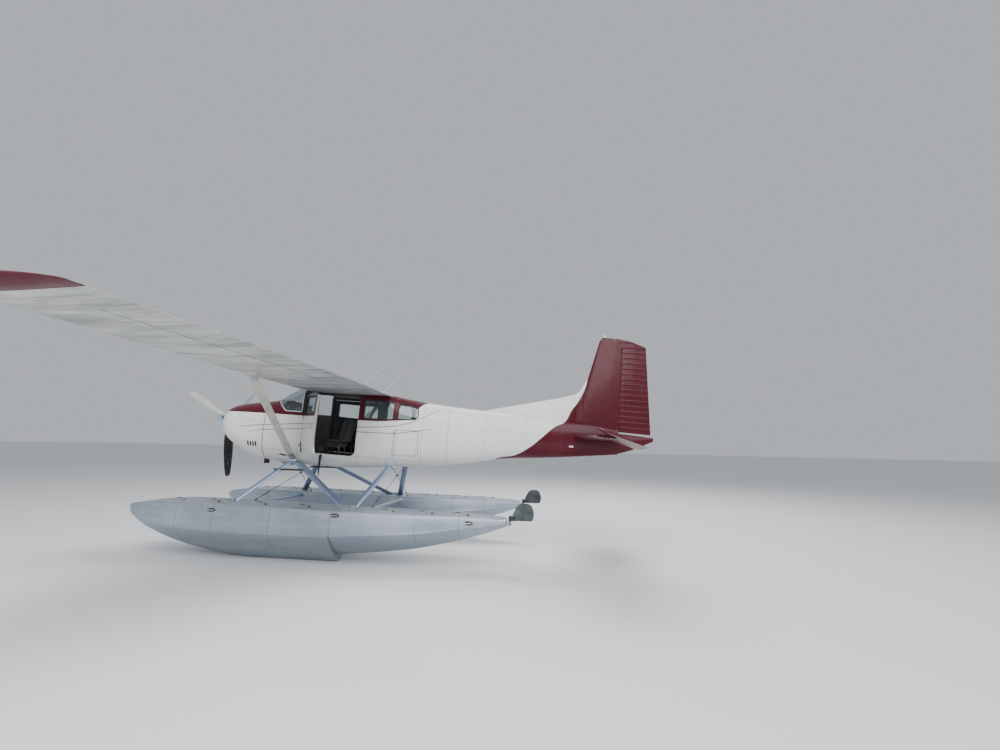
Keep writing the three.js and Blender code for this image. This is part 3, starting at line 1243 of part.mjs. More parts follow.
airframe.add(cowl(), engine(), firewall(), propeller(), spinner(), windshield(), baggageDoor(), tailLight());
airframe.add(...doors());
airframe.add(meshOf('fuselage', fuselageShell(), white));
airframe.add(meshOf('roof', roofSolid(), white));
for (const side of SIDES) {
  airframe.add(...buildWing(side), tipCap(side), wingStrut(side));
  for (const { name, outline } of REAR_WINDOWS) airframe.add(pane(name, outline, side));
}

airframe.add(meshOf('tail_cone', tailConeSolid(), maroon), stabilizer(), beacon(), exhaust());
const elevatorMesh = elevator();
const elevatorPivot = new THREE.Group();
elevatorPivot.position.set(TAIL_HINGE_X, 0, TAIL_Z);
elevatorPivot.rotation.y = ELEVATOR_REST_ANGLE;
elevatorMesh.position.set(-TAIL_HINGE_X, 0, -TAIL_Z);
elevatorPivot.add(elevatorMesh);
airframe.add(elevatorPivot, fin(), dorsal(), rudder());

airframe.add(cabinFloor(), instrumentPanel());
airframe.add(...SEATS.map(seat));

const undercarriage = new THREE.Group();
const floatBlock = floatSolid();
for (const side of SIDES) {
  undercarriage.add(meshOf(`float_${side.name}`, mirrored(floatBlock, side), skinMetal));
  undercarriage.add(...LEGS.map((row) => floatLegs(row, side, floatBlock)));
  undercarriage.add(rudderHead(side), waterRudderBlade(side));
}

SPREADERS.forEach((row) => undercarriage.add(spreader(row, floatBlock)));
WIRES.forEach((row) => undercarriage.add(braceWires(row, floatBlock)));

const floatplane = new THREE.Group();
const tailTip = rigged(point(LIGHT_END.x, 0, LIGHT_END.top)).x;
floatplane.position.x = -(FLOAT_FRONT[0].x + tailTip) / 2;
floatplane.add(airframe, undercarriage);
export default floatplane;
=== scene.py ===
import math

import bmesh
import bpy
import numpy as np
from mathutils import Matrix, Vector


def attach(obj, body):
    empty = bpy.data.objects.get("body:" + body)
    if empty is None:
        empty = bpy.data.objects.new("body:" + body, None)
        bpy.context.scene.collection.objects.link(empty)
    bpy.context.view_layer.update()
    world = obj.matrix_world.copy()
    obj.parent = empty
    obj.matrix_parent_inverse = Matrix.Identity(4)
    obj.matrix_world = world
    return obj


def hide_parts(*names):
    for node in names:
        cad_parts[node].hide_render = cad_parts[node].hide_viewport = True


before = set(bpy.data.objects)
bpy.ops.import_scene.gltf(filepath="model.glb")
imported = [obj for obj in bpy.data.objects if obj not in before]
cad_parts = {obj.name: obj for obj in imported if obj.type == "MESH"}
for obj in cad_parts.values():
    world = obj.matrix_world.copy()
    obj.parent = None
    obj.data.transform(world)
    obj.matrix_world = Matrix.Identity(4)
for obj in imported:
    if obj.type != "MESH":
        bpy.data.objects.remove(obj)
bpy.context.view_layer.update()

MIDDLE_X = -3.67885
AIRFRAME = Matrix.Translation((MIDDLE_X, 0, 2.14)) @ Matrix.Rotation(math.radians(3.5), 4, "Y")
LEVEL = Matrix.Translation((MIDDLE_X, 0, 0))

camera = bpy.data.objects.new("view_from_left", bpy.data.cameras.new("view_from_left"))
bpy.context.scene.collection.objects.link(camera)
camera.data.sensor_width = 36
camera.data.lens = 17.07
camera.data.clip_end = 500
camera.matrix_world = (
    AIRFRAME @ Matrix.Translation((6.336, -8.064, -0.047))
    @ Matrix.Rotation(math.radians(8.12), 4, "Z") @ Matrix.Rotation(math.radians(98.14), 4, "X")
    @ Matrix.Rotation(math.radians(4.69), 4, "Z"))
bpy.context.scene.camera = camera


# The studio: a pale floor without an edge in sight, even light from all round, and two
# large soft lamps high up, one on the left and one above the far wing.
def blank(name):
    """An empty finish."""
    finish = bpy.data.materials.new(name)
    finish.use_nodes = True
    finish.node_tree.nodes.clear()
    return finish


def feed(finish, node, *values):
    """Sets a step's inputs in turn, each from a value or from another step."""
    for socket, value in zip(node.inputs, values):
        if isinstance(value, bpy.types.NodeSocket):
            finish.node_tree.links.new(value, socket)
        elif value is not None:
            socket.default_value = value
    return node


def calc(finish, how, a, b=0.5):
    """One sum in a finish."""
    node = finish.node_tree.nodes.new("ShaderNodeMath")
    node.operation = how
    return feed(finish, node, a, b).outputs[0]


def times(finish, a, b):
    """The product of two values in a finish."""
    return calc(finish, "MULTIPLY", a, b)


def either(finish, a, b):
    """The greater of two values in a finish: where both are masks, one that covers both."""
    return calc(finish, "MAXIMUM", a, b)


def mixed(finish, share, a, b):
    """Colour a with a share of colour b over it."""
    node = finish.node_tree.nodes.new("ShaderNodeMixRGB")
    a, b = [(*v, 1) if isinstance(v, tuple) and len(v) == 3 else v for v in (a, b)]
    return feed(finish, node, share, a, b).outputs[0]


def ramped(finish, value, low, high, low_gives=0.0, high_gives=1.0):
    """Turns low..high of a value into another range, and holds it there beyond."""
    node = finish.node_tree.nodes.new("ShaderNodeMapRange")
    return feed(finish, node, value, low, high, low_gives, high_gives).outputs[0]


def grain(finish, place, scale, detail=3.0, rough=0.5, stretch=None):
    """Cloudy variation, from 0 to 1, over a place, finer with a larger scale."""
    nodes = finish.node_tree.nodes
    if stretch:
        mapping = feed(finish, nodes.new("ShaderNodeMapping"), place)
        mapping.inputs["Scale"].default_value = stretch
        place = mapping.outputs[0]
    noise = nodes.new("ShaderNodeTexNoise")
    finish.node_tree.links.new(place, noise.inputs["Vector"])
    noise.inputs["Scale"].default_value = scale
    noise.inputs["Detail"].default_value = detail
    noise.inputs["Roughness"].default_value = rough
    return noise.outputs[0]


def drawn_place(finish):
    """Where a point was drawn, before its piece was set in place: as a place, and as x, y and z."""
    nodes = finish.node_tree.nodes
    spot = nodes.new("ShaderNodeAttribute")
    spot.attribute_name = "drawn"
    parts = feed(finish, nodes.new("ShaderNodeSeparateXYZ"), spot.outputs["Vector"])
    return (spot.outputs["Vector"], *parts.outputs)


def packed_place(finish):
    """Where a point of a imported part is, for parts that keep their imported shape."""
    return finish.node_tree.nodes.new("ShaderNodeTexCoord").outputs["Object"]


def lay(finish, colour, rough=0.4, height=None, **fixed):
    """Ends a finish: its colour, roughness and relief in metres, and what is even all over."""
    nodes, links = finish.node_tree.nodes, finish.node_tree.links
    shader = nodes.new("ShaderNodeBsdfPrincipled")
    for name, value in (("Base Color", colour), ("Roughness", rough)):
        if isinstance(value, bpy.types.NodeSocket):
            links.new(value, shader.inputs[name])
        else:
            shader.inputs[name].default_value = (*value, 1) if name == "Base Color" else value
    for name, value in fixed.items():
        shader.inputs[name.replace("_", " ").title().replace("Ior", "IOR")].default_value = value
    if height is not None:
        bump = nodes.new("ShaderNodeBump")
        bump.inputs["Distance"].default_value = 1.0
        links.new(height, bump.inputs["Height"])
        links.new(bump.outputs[0], shader.inputs["Normal"])
    links.new(shader.outputs[0], nodes.new("ShaderNodeOutputMaterial").inputs[0])
    return finish


def solid(name, corners, faces):
    """A piece from its corners and faces, with its faces turned outwards."""
    mesh = bpy.data.meshes.new(name)
    mesh.from_pydata([tuple(c) for c in corners], [], faces)
    work = bmesh.new()
    work.from_mesh(mesh)
    bmesh.ops.recalc_face_normals(work, faces=work.faces[:])
    work.to_mesh(mesh)
    work.free()
    piece = bpy.data.objects.new(name, mesh)
    bpy.context.scene.collection.objects.link(piece)
    return piece


floor = solid("studio_floor", [(-200, -200, 0), (200, -200, 0), (200, 200, 0), (-200, 200, 0)],
              [(0, 1, 2, 3)])
pale = blank("pale_floor")
floor.data.materials.append(lay(pale, mixed(pale, grain(pale, packed_place(pale), 0.8), (0.72, 0.73, 0.74),
                                            (0.76, 0.77, 0.78)), 0.7))

studio = bpy.data.worlds.new("studio")
bpy.context.scene.world = studio
studio.use_nodes = True
studio.node_tree.nodes["Background"].inputs[0].default_value = (0.84, 0.88, 0.93, 1)
studio.node_tree.nodes["Background"].inputs[1].default_value = 0.60

for name, spot, aim, size, power in (
        ("lamp_left", (2.0, -12.0, 11.0), (0, 0, 1.5), 13.0, 2600),
        ("lamp_above", (3.5, 8.0, 13.0), (0, 0, 1.5), 6.0, 1700)):
    lamp = bpy.data.objects.new(name, bpy.data.lights.new(name, "AREA"))
    bpy.context.scene.collection.objects.link(lamp)
    lamp.data.size = size
    lamp.data.energy = power
    lamp.location = spot
    lamp.rotation_euler = (Vector(aim) - Vector(spot)).to_track_quat("-Z", "Y").to_euler()


# The cabin shell: aluminium sheet over frames, painted gloss white with a maroon cheat line
# over the windows. Door, window and windscreen openings are cut in it, and its inside is
# lined with grey cloth. The wing's centre section closes it on top.
BODY = np.array([  # x, top, bottom, half width, z of the widest place, upper and lower squareness
    (0.310, 0.150, -0.250, 0.255, -0.050, 2.2, 2.2),
    (0.360, 0.200, -0.330, 0.335, -0.060, 2.3, 2.3),
    (0.500, 0.258, -0.430, 0.415, -0.080, 2.5, 2.5),
    (0.750, 0.310, -0.560, 0.460, -0.090, 2.8, 2.7),
    (1.050, 0.352, -0.645, 0.480, -0.100, 3.0, 2.9),
    (1.250, 0.385, -0.675, 0.490, -0.100, 3.2, 3.0),
    (1.400, 0.420, -0.685, 0.500, -0.050, 3.6, 3.2),
    (1.640, 0.565, -0.690, 0.518, -0.020, 4.6, 3.4),
    (1.955, 0.712, -0.690, 0.532, 0.000, 6.0, 3.5),
    (2.450, 0.725, -0.685, 0.536, 0.000, 6.0, 3.5),
    (2.950, 0.700, -0.655, 0.530, 0.000, 6.0, 3.5),
    (3.430, 0.606, -0.605, 0.505, 0.020, 5.0, 3.3),
    (4.000, 0.535, -0.545, 0.440, 0.040, 3.5, 3.0),
    (4.450, 0.500, -0.475, 0.378, 0.050, 3.0, 2.7),
    (5.300, 0.465, -0.315, 0.270, 0.080, 2.6, 2.5),
    (6.200, 0.430, -0.215, 0.165, 0.100, 2.4, 2.3),
    (6.900, 0.395, -0.125, 0.095, 0.130, 2.2, 2.2),
    (7.225, 0.370, -0.080, 0.062, 0.145, 2.1, 2.1)])
WALL = 0.028
DOOR_OUTLINE = [(1.979, -0.462, 0.025), (2.946, -0.462, 0.120), (2.946, 0.515, 0.060), (1.979, 0.515, 0.025)]
DOOR_WINDOW = [(2.075, 0.195, 0.040), (2.870, 0.172, 0.060), (2.862, 0.440, 0.060), (2.075, 0.452, 0.040)]
REAR_WINDOWS = {
    "front": [(3.040, 0.178, 0.040), (3.535, 0.192, 0.040), (3.525, 0.478, 0.040), (3.040, 0.496, 0.040)],
    "aft": [(3.610, 0.205, 0.030), (3.945, 0.222, 0.090), (3.930, 0.425, 0.090), (3.610, 0.470, 0.030)]}
BAGGAGE_DOOR = [(3.584, -0.400, 0.030), (3.985, -0.372, 0.030), (3.985, 0.040, 0.030), (3.584, 0.032, 0.030)]
FIT = 0.0004
WINDSCREEN = [(1.350, 0.452), (1.625, 0.205), (1.928, 0.205), (1.928, 0.520), (1.952, 0.556), (1.952, 0.9),
              (1.350, 0.9)]


def through(table, x):
    """The row at x of a table of stations, on a smooth curve that never passes beyond them."""
    xs, ys = table[:, 0], table[:, 1:]
    rise = np.diff(ys, axis=0) / np.diff(xs)[:, None]
    both = rise[:-1] * rise[1:]
    slope = np.zeros_like(ys)
    slope[1:-1] = np.where(both > 0, 2 * both / np.where(both > 0, rise[:-1] + rise[1:], 1), 0)
    slope[0], slope[-1] = rise[0], rise[-1]
    i = int(np.clip(np.searchsorted(xs, x) - 1, 0, len(xs) - 2))
    h = xs[i + 1] - xs[i]
    t = (x - xs[i]) / h
    return ((1 + 2 * t) * (1 - t) ** 2 * ys[i] + t * (1 - t) ** 2 * h * slope[i]
            + t * t * (3 - 2 * t) * ys[i + 1] + t * t * (t - 1) * h * slope[i + 1])


def hoop(x, inset=0.0, count=128):
    """The body's outline at a station, in even steps from its keel, a distance inside its skin."""
    top, bottom, half, wide, upper, lower = through(BODY, x)
    turn = np.linspace(-math.pi / 2, 1.5 * math.pi, 1441)
    c, s = np.cos(turn), np.sin(turn)
    power = 2 / np.where(s > 0, upper, lower)
    tall = np.where(s > 0, top - wide, wide - bottom) - inset
    y = (half - inset) * np.sign(c) * np.abs(c) ** power
    z = wide + tall * np.sign(s) * np.abs(s) ** power
    gone = np.concatenate([[0], np.cumsum(np.hypot(np.diff(y), np.diff(z)))])
    at = np.linspace(0, gone[-1], count, endpoint=False)
    return [Vector((x, a, b)) for a, b in zip(np.interp(at, gone, y), np.interp(at, gone, z))]


def half_width(x, z, inset=0.0):
    """How far the body's skin is from its middle, at a station and height."""
    top, bottom, half, wide, upper, lower = through(BODY, x)
    tall, power = (top - wide, upper) if z > wide else (wide - bottom, lower)
    return (half - inset) * max(0.0, 1 - abs((z - wide) / (tall - inset)) ** power) ** (1 / power)


def loft(name, rings):
    """A closed piece through rings of as many points each."""
    count = len(rings[0])
    faces = [(i + j, i + (j + 1) % count, i + count + (j + 1) % count, i + count + j)
             for i in range(0, count * (len(rings) - 1), count) for j in range(count)]
    total = count * len(rings)
    faces += [tuple(range(count)), tuple(range(total - count, total))]
    return solid(name, [p for ring in rings for p in ring], faces)


def body_block(x0, x1, inset=0.0, step=0.06):
    """A length of the body, a distance inside its skin."""
    return loft("body", [hoop(x, inset) for x in np.linspace(x0, x1, max(2, round((x1 - x0) / step) + 1))])


def pushed(outline, low, high, along="y"):
    """An outline pushed through from low to high along one axis."""
    place = {"x": 0, "y": 1, "z": 2}[along]
    return loft("block", [[Vector((*p[:place], c, *p[place:])) for p in outline] for c in (low, high)])


def rounded(corners, steps=8):
    """An outline with each corner rounded by its own radius."""
    outline = []
    for i, (a, b, radius) in enumerate(corners):
        here = Vector((a, b))
        before = (Vector(corners[i - 1][:2]) - here).normalized() * radius + here
        after = (Vector(corners[(i + 1) % len(corners)][:2]) - here).normalized() * radius + here
        for k in range(steps + 1):
            t = k / steps
            outline.append((before * (1 - t) ** 2 + here * 2 * t * (1 - t) + after * t * t).to_tuple())
    return outline


def four(a0, b0, a1, b1, *radii):
    """A rectangle's corners, each with a radius if one is given; a second radius is that of the a1 end."""
    corners = [(a0, b0), (a1, b0), (a1, b1), (a0, b1)]
    if not radii:
        return corners
    near, far = radii[0], radii[-1]
    return [(*corner, radius) for corner, radius in zip(corners, (near, far, far, near))]


def shrunk(corners, distance):
    """An outline's corners moved towards its middle."""
    mid = [sum(c[k] for c in corners) / len(corners) for k in (0, 1)]
    return [(a - distance * math.copysign(1, a - mid[0]), b - distance * math.copysign(1, b - mid[1]), r)
            for a, b, r in corners]


def side_block(outline, side, inner=0.15):
    """An outline pushed out through one side of the body."""
    return pushed(outline, min(inner * side, 0.9 * side), max(inner * side, 0.9 * side))


def settled(piece):
    """Makes a piece's changes part of its own mesh."""
    whole = bpy.data.meshes.new_from_object(piece.evaluated_get(bpy.context.evaluated_depsgraph_get()))
    piece.modifiers.clear()
    piece.data = whole
    return piece


def carved(piece, *blocks, how="DIFFERENCE"):
    """Cuts blocks out of a piece, or keeps what it shares with them, and throws the blocks away."""
    for block in blocks:
        cut = piece.modifiers.new("cut", "BOOLEAN")
        cut.operation = how
        cut.solver = "EXACT"
        cut.object = block
    settled(piece)
    for block in blocks:
        bpy.data.objects.remove(block)
    return piece


def fastened(piece, name, body, slot, *finishes, axes=AIRFRAME, instead_of=(), crease=35):
    """Keeps where each corner was drawn, for its finish, and sets the piece in place on its body."""
    piece.name = name
    mesh = piece.data
    mesh.name = name
    places = np.empty(len(mesh.vertices) * 3, np.float32)
    mesh.vertices.foreach_get("co", places)
    mesh.attributes.new("drawn", "FLOAT_VECTOR", "POINT").data.foreach_set("vector", places)
    mesh.transform(axes)
    for finish in finishes:
        mesh.materials.append(finish)
    mesh.shade_smooth()
    mesh.set_sharp_from_angle(angle=math.radians(crease))
    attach(piece, body)
    if instead_of:
        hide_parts(*instead_of)
    return piece


def second_finish(piece, test, which=1):
    """Gives the second finish, or a later one, to the faces whose middle, as drawn, passes a test."""
    for face in piece.data.polygons:
        if test(face.center):
            face.material_index = which


def curve_at(finish, value, points):
    """A smooth line through points (value, result), read at a value."""
    node = finish.node_tree.nodes.new("ShaderNodeFloatCurve")
    xs, ys = zip(*points)
    low, high = min(ys) - 0.01, max(ys) + 0.01
    curve = node.mapping.curves[0]
    for k, (x, y) in enumerate(points):
        spot = ((x - xs[0]) / (xs[-1] - xs[0]), (y - low) / (high - low))
        if 0 < k < len(points) - 1:
            curve.points.new(*spot)
        else:
            curve.points[0 if k == 0 else -1].location = spot
    node.mapping.update()
    finish.node_tree.links.new(ramped(finish, value, xs[0], xs[-1]), node.inputs["Value"])
    return ramped(finish, node.outputs[0], 0, 1, low, high)


def rivet_rows(finish, across, along, gap, pitch=0.032, size=0.004):
    """Rows of round rivet heads, a gap apart: 1 on a head and 0 between."""
    from_row = calc(finish, "PINGPONG", across, gap / 2)
    from_head = calc(finish, "PINGPONG", along, pitch / 2)
    away = calc(finish, "SQRT", calc(finish, "ADD", times(finish, from_row, from_row),
                                     times(finish, from_head, from_head)))
    return ramped(finish, away, size, size * 0.5)


def joint_line(finish, value, at, half=0.0016):
    """A narrow sheet joint where a value passes a place: 1 on the joint."""
    return ramped(finish, calc(finish, "ABSOLUTE", calc(finish, "SUBTRACT", value, at)),
                  half * 1.6, half * 0.6)


WHITE = (0.80, 0.80, 0.78)
MAROON = (0.068, 0.0040, 0.012)
MAROON_SILL = [(0.30, 0.118), (0.70, 0.128), (1.33, 0.137), (1.95, 0.140), (2.95, 0.138), (3.32, 0.150),
               (3.585, 0.180), (3.814, 0.208), (3.885, 0.235), (3.925, 0.405), (3.97, 0.470), (4.04, 0.525)]
# How far out from the middle the maroon starts on top of the cabin.
MAROON_CREST = [(3.20, -0.05), (3.45, 0.0), (3.72, 0.09), (4.04, 0.19)]
UPPER_STRIPE = [(0.665, -0.143), (0.867, -0.111), (1.06, -0.083), (1.25, -0.061), (1.633, -0.025),
                (1.929, 0.002), (2.30, 0.018), (2.961, 0.024), (3.248, 0.047), (3.579, 0.090),
                (3.74, 0.133), (3.898, 0.199), (4.052, 0.281), (4.199, 0.376), (4.267, 0.426)]
LOWER_STRIPE = [(0.884, -0.220), (1.0, -0.191), (1.132, -0.164), (1.265, -0.145), (1.646, -0.109),
                (1.942, -0.080), (2.30, -0.062), (2.97, -0.054), (3.259, -0.047), (3.592, -0.027),
                (3.803, 0.007), (4.029, 0.053), (4.20, 0.092)]
TAIL_EDGE = [(-0.50, 4.95), (-0.297, 5.267), (-0.222, 5.567), (-0.071, 5.807), (0.075, 5.967),
             (0.293, 6.193), (0.384, 6.346), (0.599, 6.454), (0.706, 6.528), (0.938, 6.636), (1.105, 6.677),
             (1.87, 6.677)]


def livery(name, joints_x=(), joints_z=(), ribs=0.46, stringers=0.24, beads=None, dark=None):
    """The gloss white and maroon scheme: fine stripes, sheet joints, rivets, and window posts coloured near
    black as painted shade.
    """
    finish = blank(name)
    place, x, y, z = drawn_place(finish)
    over = lambda value, edge, soft=0.002: ramped(finish, calc(finish, "SUBTRACT", value, edge), -soft, soft)
    band = times(finish, over(z, curve_at(finish, x, MAROON_SILL)), ramped(finish, x, 4.041, 4.039))
    band = times(finish, band, over(calc(finish, "ABSOLUTE", y), curve_at(finish, x, MAROON_CREST)))
    maroon = either(finish, band, over(x, curve_at(finish, z, TAIL_EDGE)))
    stripes = 0.0
    for line, start, end in ((UPPER_STRIPE, 0.80, 4.26), (LOWER_STRIPE, 1.02, 4.18)):
        away = calc(finish, "ABSOLUTE", calc(finish, "SUBTRACT", z, curve_at(finish, x, line)))
        stripe = times(finish, ramped(finish, away, 0.0075, 0.0045),
                       ramped(finish, x, start - 0.15, start + 0.2))
        stripes = either(finish, stripes, times(finish, stripe, ramped(finish, x, end, end - 0.02)))
    joints = 0.0
    for value, spots in ((x, joints_x), (z, joints_z)):
        for spot in spots:
            joints = either(finish, joints, joint_line(finish, value, spot))
    rivets = either(finish, rivet_rows(finish, x, z, ribs), rivet_rows(finish, z, x, stringers))
    clouds = grain(finish, place, 1.6, 5.0, 0.55)
    streaks = grain(finish, place, 2.2, 4.0, 0.6, stretch=(0.5, 3.0, 6.0))
    white = mixed(finish, ramped(finish, clouds, 0.35, 0.75), WHITE, (0.72, 0.725, 0.72))
    low = times(finish, ramped(finish, z, -0.30, -0.66), ramped(finish, streaks, 0.42, 0.70))
    white = mixed(finish, times(finish, low, 0.55), white, (0.40, 0.38, 0.34))
    red = mixed(finish, ramped(finish, clouds, 0.3, 0.8), MAROON, (0.090, 0.006, 0.016))
    colour = mixed(finish, maroon, white, red)
    colour = mixed(finish, times(finish, stripes, 0.85), colour, (0.055, 0.035, 0.040))
    # Painted shade: where asked, the window posts are coloured near black for the shade they lie in.
    if dark:
        low, start, end = dark
        post = times(finish, over(x, start), times(finish, over(z, low), ramped(finish, x, end, end - 0.004)))
        colour = mixed(finish, post, colour, (0.022, 0.022, 0.026))
    colour = mixed(finish, times(finish, joints, 0.75), colour, (0.10, 0.10, 0.10))
    colour = mixed(finish, times(finish, rivets, 0.16), colour, (0.30, 0.30, 0.30))
    dents = times(finish, grain(finish, place, 3.1, 2.0, 0.4), 0.006)
    height = calc(finish, "SUBTRACT", calc(finish, "ADD", dents, times(finish, rivets, 0.0006)),
                  times(finish, joints, 0.0012))
    if beads:
        wave = calc(finish, "PINGPONG", {"y": y, "z": z}[beads], 0.045)
        height = calc(finish, "ADD", height, times(finish, ramped(finish, wave, 0.020, 0.0), 0.004))
    dull = calc(finish, "ADD", clouds, times(finish, low, 0.5))
    rough = ramped(finish, dull, 0.3, 1.1, 0.20, 0.50)
    return lay(finish, colour, rough, height, coat_weight=0.06, coat_roughness=0.12, specular_ior_level=0.22)


def mottled(name, scale, detail, light, dark, rough, **fixed):
    """A finish clouded between two colours; rough is even, or (scale of its clouds, least, most)."""
    finish = blank(name)
    place = drawn_place(finish)[0]
    colour = mixed(finish, grain(finish, place, scale, detail), light, dark)
    if isinstance(rough, tuple):
        fineness, least, most = rough
        rough = ramped(finish, grain(finish, place, fineness, 4.0), 0.3, 0.7, least, most)
    return lay(finish, colour, rough, **fixed)


lining = blank("cabin_lining")
lining_place = drawn_place(lining)[0]
weave = grain(lining, lining_place, 420, 2.0)
lay(lining, mixed(lining, grain(lining, lining_place, 7.0), (0.050, 0.050, 0.055),
                  (0.085, 0.083, 0.085)), 0.9,
    times(lining, weave, 0.0006), sheen_weight=0.2)

# Wing section: the share of the chord and height of each point, from the trailing edge over the top.
ROOT = {"y": 0.530, "chord": 1.626, "x": 1.795, "z": 0.625, "twist": math.radians(1.8)}
TAPER_END, TIP_JOINT, WING_BREAK, TIP_CHORD, TIP_TWIST = 5.100, 5.340, 1.900, 1.130, math.radians(-1.7)
RISE = math.tan(math.radians(1.63))


def section(scale=1.0, steps=36):
    """The wing's section, cambered and twelve hundredths thick."""
    def surface(x, sign):
        line = 0.125 * (0.8 * x - x * x) if x < 0.4 else (0.02 / 0.36) * (0.2 + 0.8 * x - x * x)
        half = 0.6 * (0.2969 * math.sqrt(x) - 0.126 * x - 0.3516 * x ** 2 + 0.2843 * x ** 3 - 0.1015 * x ** 4)
        return line + sign * (half + 0.002 * x) * scale
    shares = [0.5 * (1 - math.cos(math.pi * i / steps)) for i in range(steps + 1)]
    return ([(x, surface(x, 1)) for x in reversed(shares[1:])] + [(0, 0)]
            + [(x, surface(x, -1)) for x in shares[1:]])


def wing_station(y):
    """Where the wing's section sits at a distance out from the middle."""
    out = max(0.0, (y - WING_BREAK) / (TAPER_END - WING_BREAK))
    share = (y - ROOT["y"]) / (TAPER_END - ROOT["y"])
    return {"y": y, "chord": ROOT["chord"] + (TIP_CHORD - ROOT["chord"]) * out,
            "x": ROOT["x"] + 0.27 * (ROOT["chord"] - TIP_CHORD) * out,
            "z": ROOT["z"] + RISE * (y - ROOT["y"]),
            "twist": ROOT["twist"] + (TIP_TWIST - ROOT["twist"]) * share}


def on_station(at, along, up):
    """A point of the section in its place on the wing."""
    back, rise = (along - 0.3) * at["chord"], up * at["chord"]
    c, s = math.cos(at["twist"]), math.sin(at["twist"])
    return Vector((at["x"] + 0.3 * at["chord"] + back * c + rise * s, at["y"], at["z"] - back * s + rise * c))


def above_roof():
    """Everything over the underside of the wing's centre section."""
    under = [on_station(ROOT, *p) for p in section()[36:]]
    front, high = 1.9556, 0.9
    line = [(p.x, p.z - FIT) for p in under if p.x > front]
    back = line[-1][0] + FIT
    return pushed([(front, line[0][1]), *line, (back, line[-1][1]), (back, high), (front, high)], -high, high)


cabin = body_block(1.2534, 4.4496)
openings = [pushed(WINDSCREEN, -0.9, 0.9), side_block(rounded(BAGGAGE_DOOR), -1)]
for side in (-1, 1):
    openings += [side_block(rounded(DOOR_OUTLINE), side)]
    openings += [side_block(rounded(outline), side) for outline in REAR_WINDOWS.values()]
carved(cabin, body_block(1.24, 4.400, WALL), above_roof(), *openings)
second_finish(cabin, lambda p: -0.6 < p.z and abs(p.y) < half_width(p.x, p.z) - 0.5 * WALL)
# The dark entry paints shade on the front window post: near black above the sill.
cabin_paint = livery("cabin_paint", joints_x=(1.256, 1.91, 2.962, 3.30, 3.57, 4.03, 4.44), joints_z=(-0.46,),
                     dark=(0.196, 1.922, 1.990))
fastened(cabin, "cabin_shell", "airframe", "white_paint", cabin_paint, lining, instead_of=("fuselage",))

roof_ends = [[on_station({**ROOT, "y": y}, *p) for p in section()] for y in (-0.5296, 0.5296)]
roof = carved(loft("roof", roof_ends), pushed(four(0, -1, 1.956, 2), -1, 1))


def wing_paint(name, beads=False):
    """White enamel over riveted sheet, clean on top; its underside a darker silvery grey that is painted
    shade, with light streaks of painted reflection and finer dark streaks of stain.
    """
    finish = blank(name)
    place, x, y, z = drawn_place(finish)
    geometry = finish.node_tree.nodes.new("ShaderNodeNewGeometry")
    facing = feed(finish, finish.node_tree.nodes.new("ShaderNodeSeparateXYZ"),
                  geometry.outputs["True Normal"])
    below = ramped(finish, facing.outputs[2], 0.05, -0.05)
    ribs = rivet_rows(finish, y, x, 0.38)
    spars = either(finish, joint_line(finish, x, 2.28, 0.0022), joint_line(finish, x, 2.92, 0.0022))
    sheets = joint_line(finish, calc(finish, "PINGPONG", y, 0.95), 0.95, 0.0022)
    streaks = grain(finish, place, 1.0, 6.0, 0.62, stretch=(0.9, 5.5, 1.0))
    fine = grain(finish, place, 1.0, 5.0, 0.6, stretch=(3.0, 26.0, 1.0))
    clouds = grain(finish, place, 2.4, 4.0)
    top = mixed(finish, ramped(finish, clouds, 0.4, 0.8), WHITE, (0.73, 0.735, 0.73))
    # Painted shade and reflection: the underside is a darker grey, with light streaks that stand for
    # reflected light and finer dark streaks.
    under = mixed(finish, ramped(finish, streaks, 0.36, 0.66), (0.60, 0.61, 0.61), (0.25, 0.26, 0.26))
    under = mixed(finish, ramped(finish, fine, 0.48, 0.66, 0.0, 0.55), under, (0.17, 0.17, 0.165))
    colour = mixed(finish, below, top, under)
    if not beads:
        lines = either(finish, spars, sheets)
        colour = mixed(finish, times(finish, lines, 0.5), colour, (0.22, 0.22, 0.22))
    colour = mixed(finish, times(finish, ribs, 0.18), colour, (0.3, 0.3, 0.3))
    dents = times(finish, grain(finish, place, 1.0, 2.0, 0.4, stretch=(2.5, 4.5, 1.0)), 0.010)
    height = calc(finish, "ADD", dents, times(finish, ribs, 0.0006))
    if beads:
        wave = calc(finish, "PINGPONG", y, 0.0445)
        height = calc(finish, "ADD", height, times(finish, ramped(finish, wave, 0.018, 0.0), 0.004))
    rough = mixed(finish, below, (0.26,) * 3, mixed(finish, streaks, (0.22,) * 3, (0.42,) * 3))
    return lay(finish, colour, rough, height, coat_weight=0.1, coat_roughness=0.15)


wing_white = wing_paint("wing_paint")
beaded_white = wing_paint("beaded_wing_paint", beads=True)
fastened(roof, "roof_centre", "airframe", "white_paint", wing_white, instead_of=("roof",))

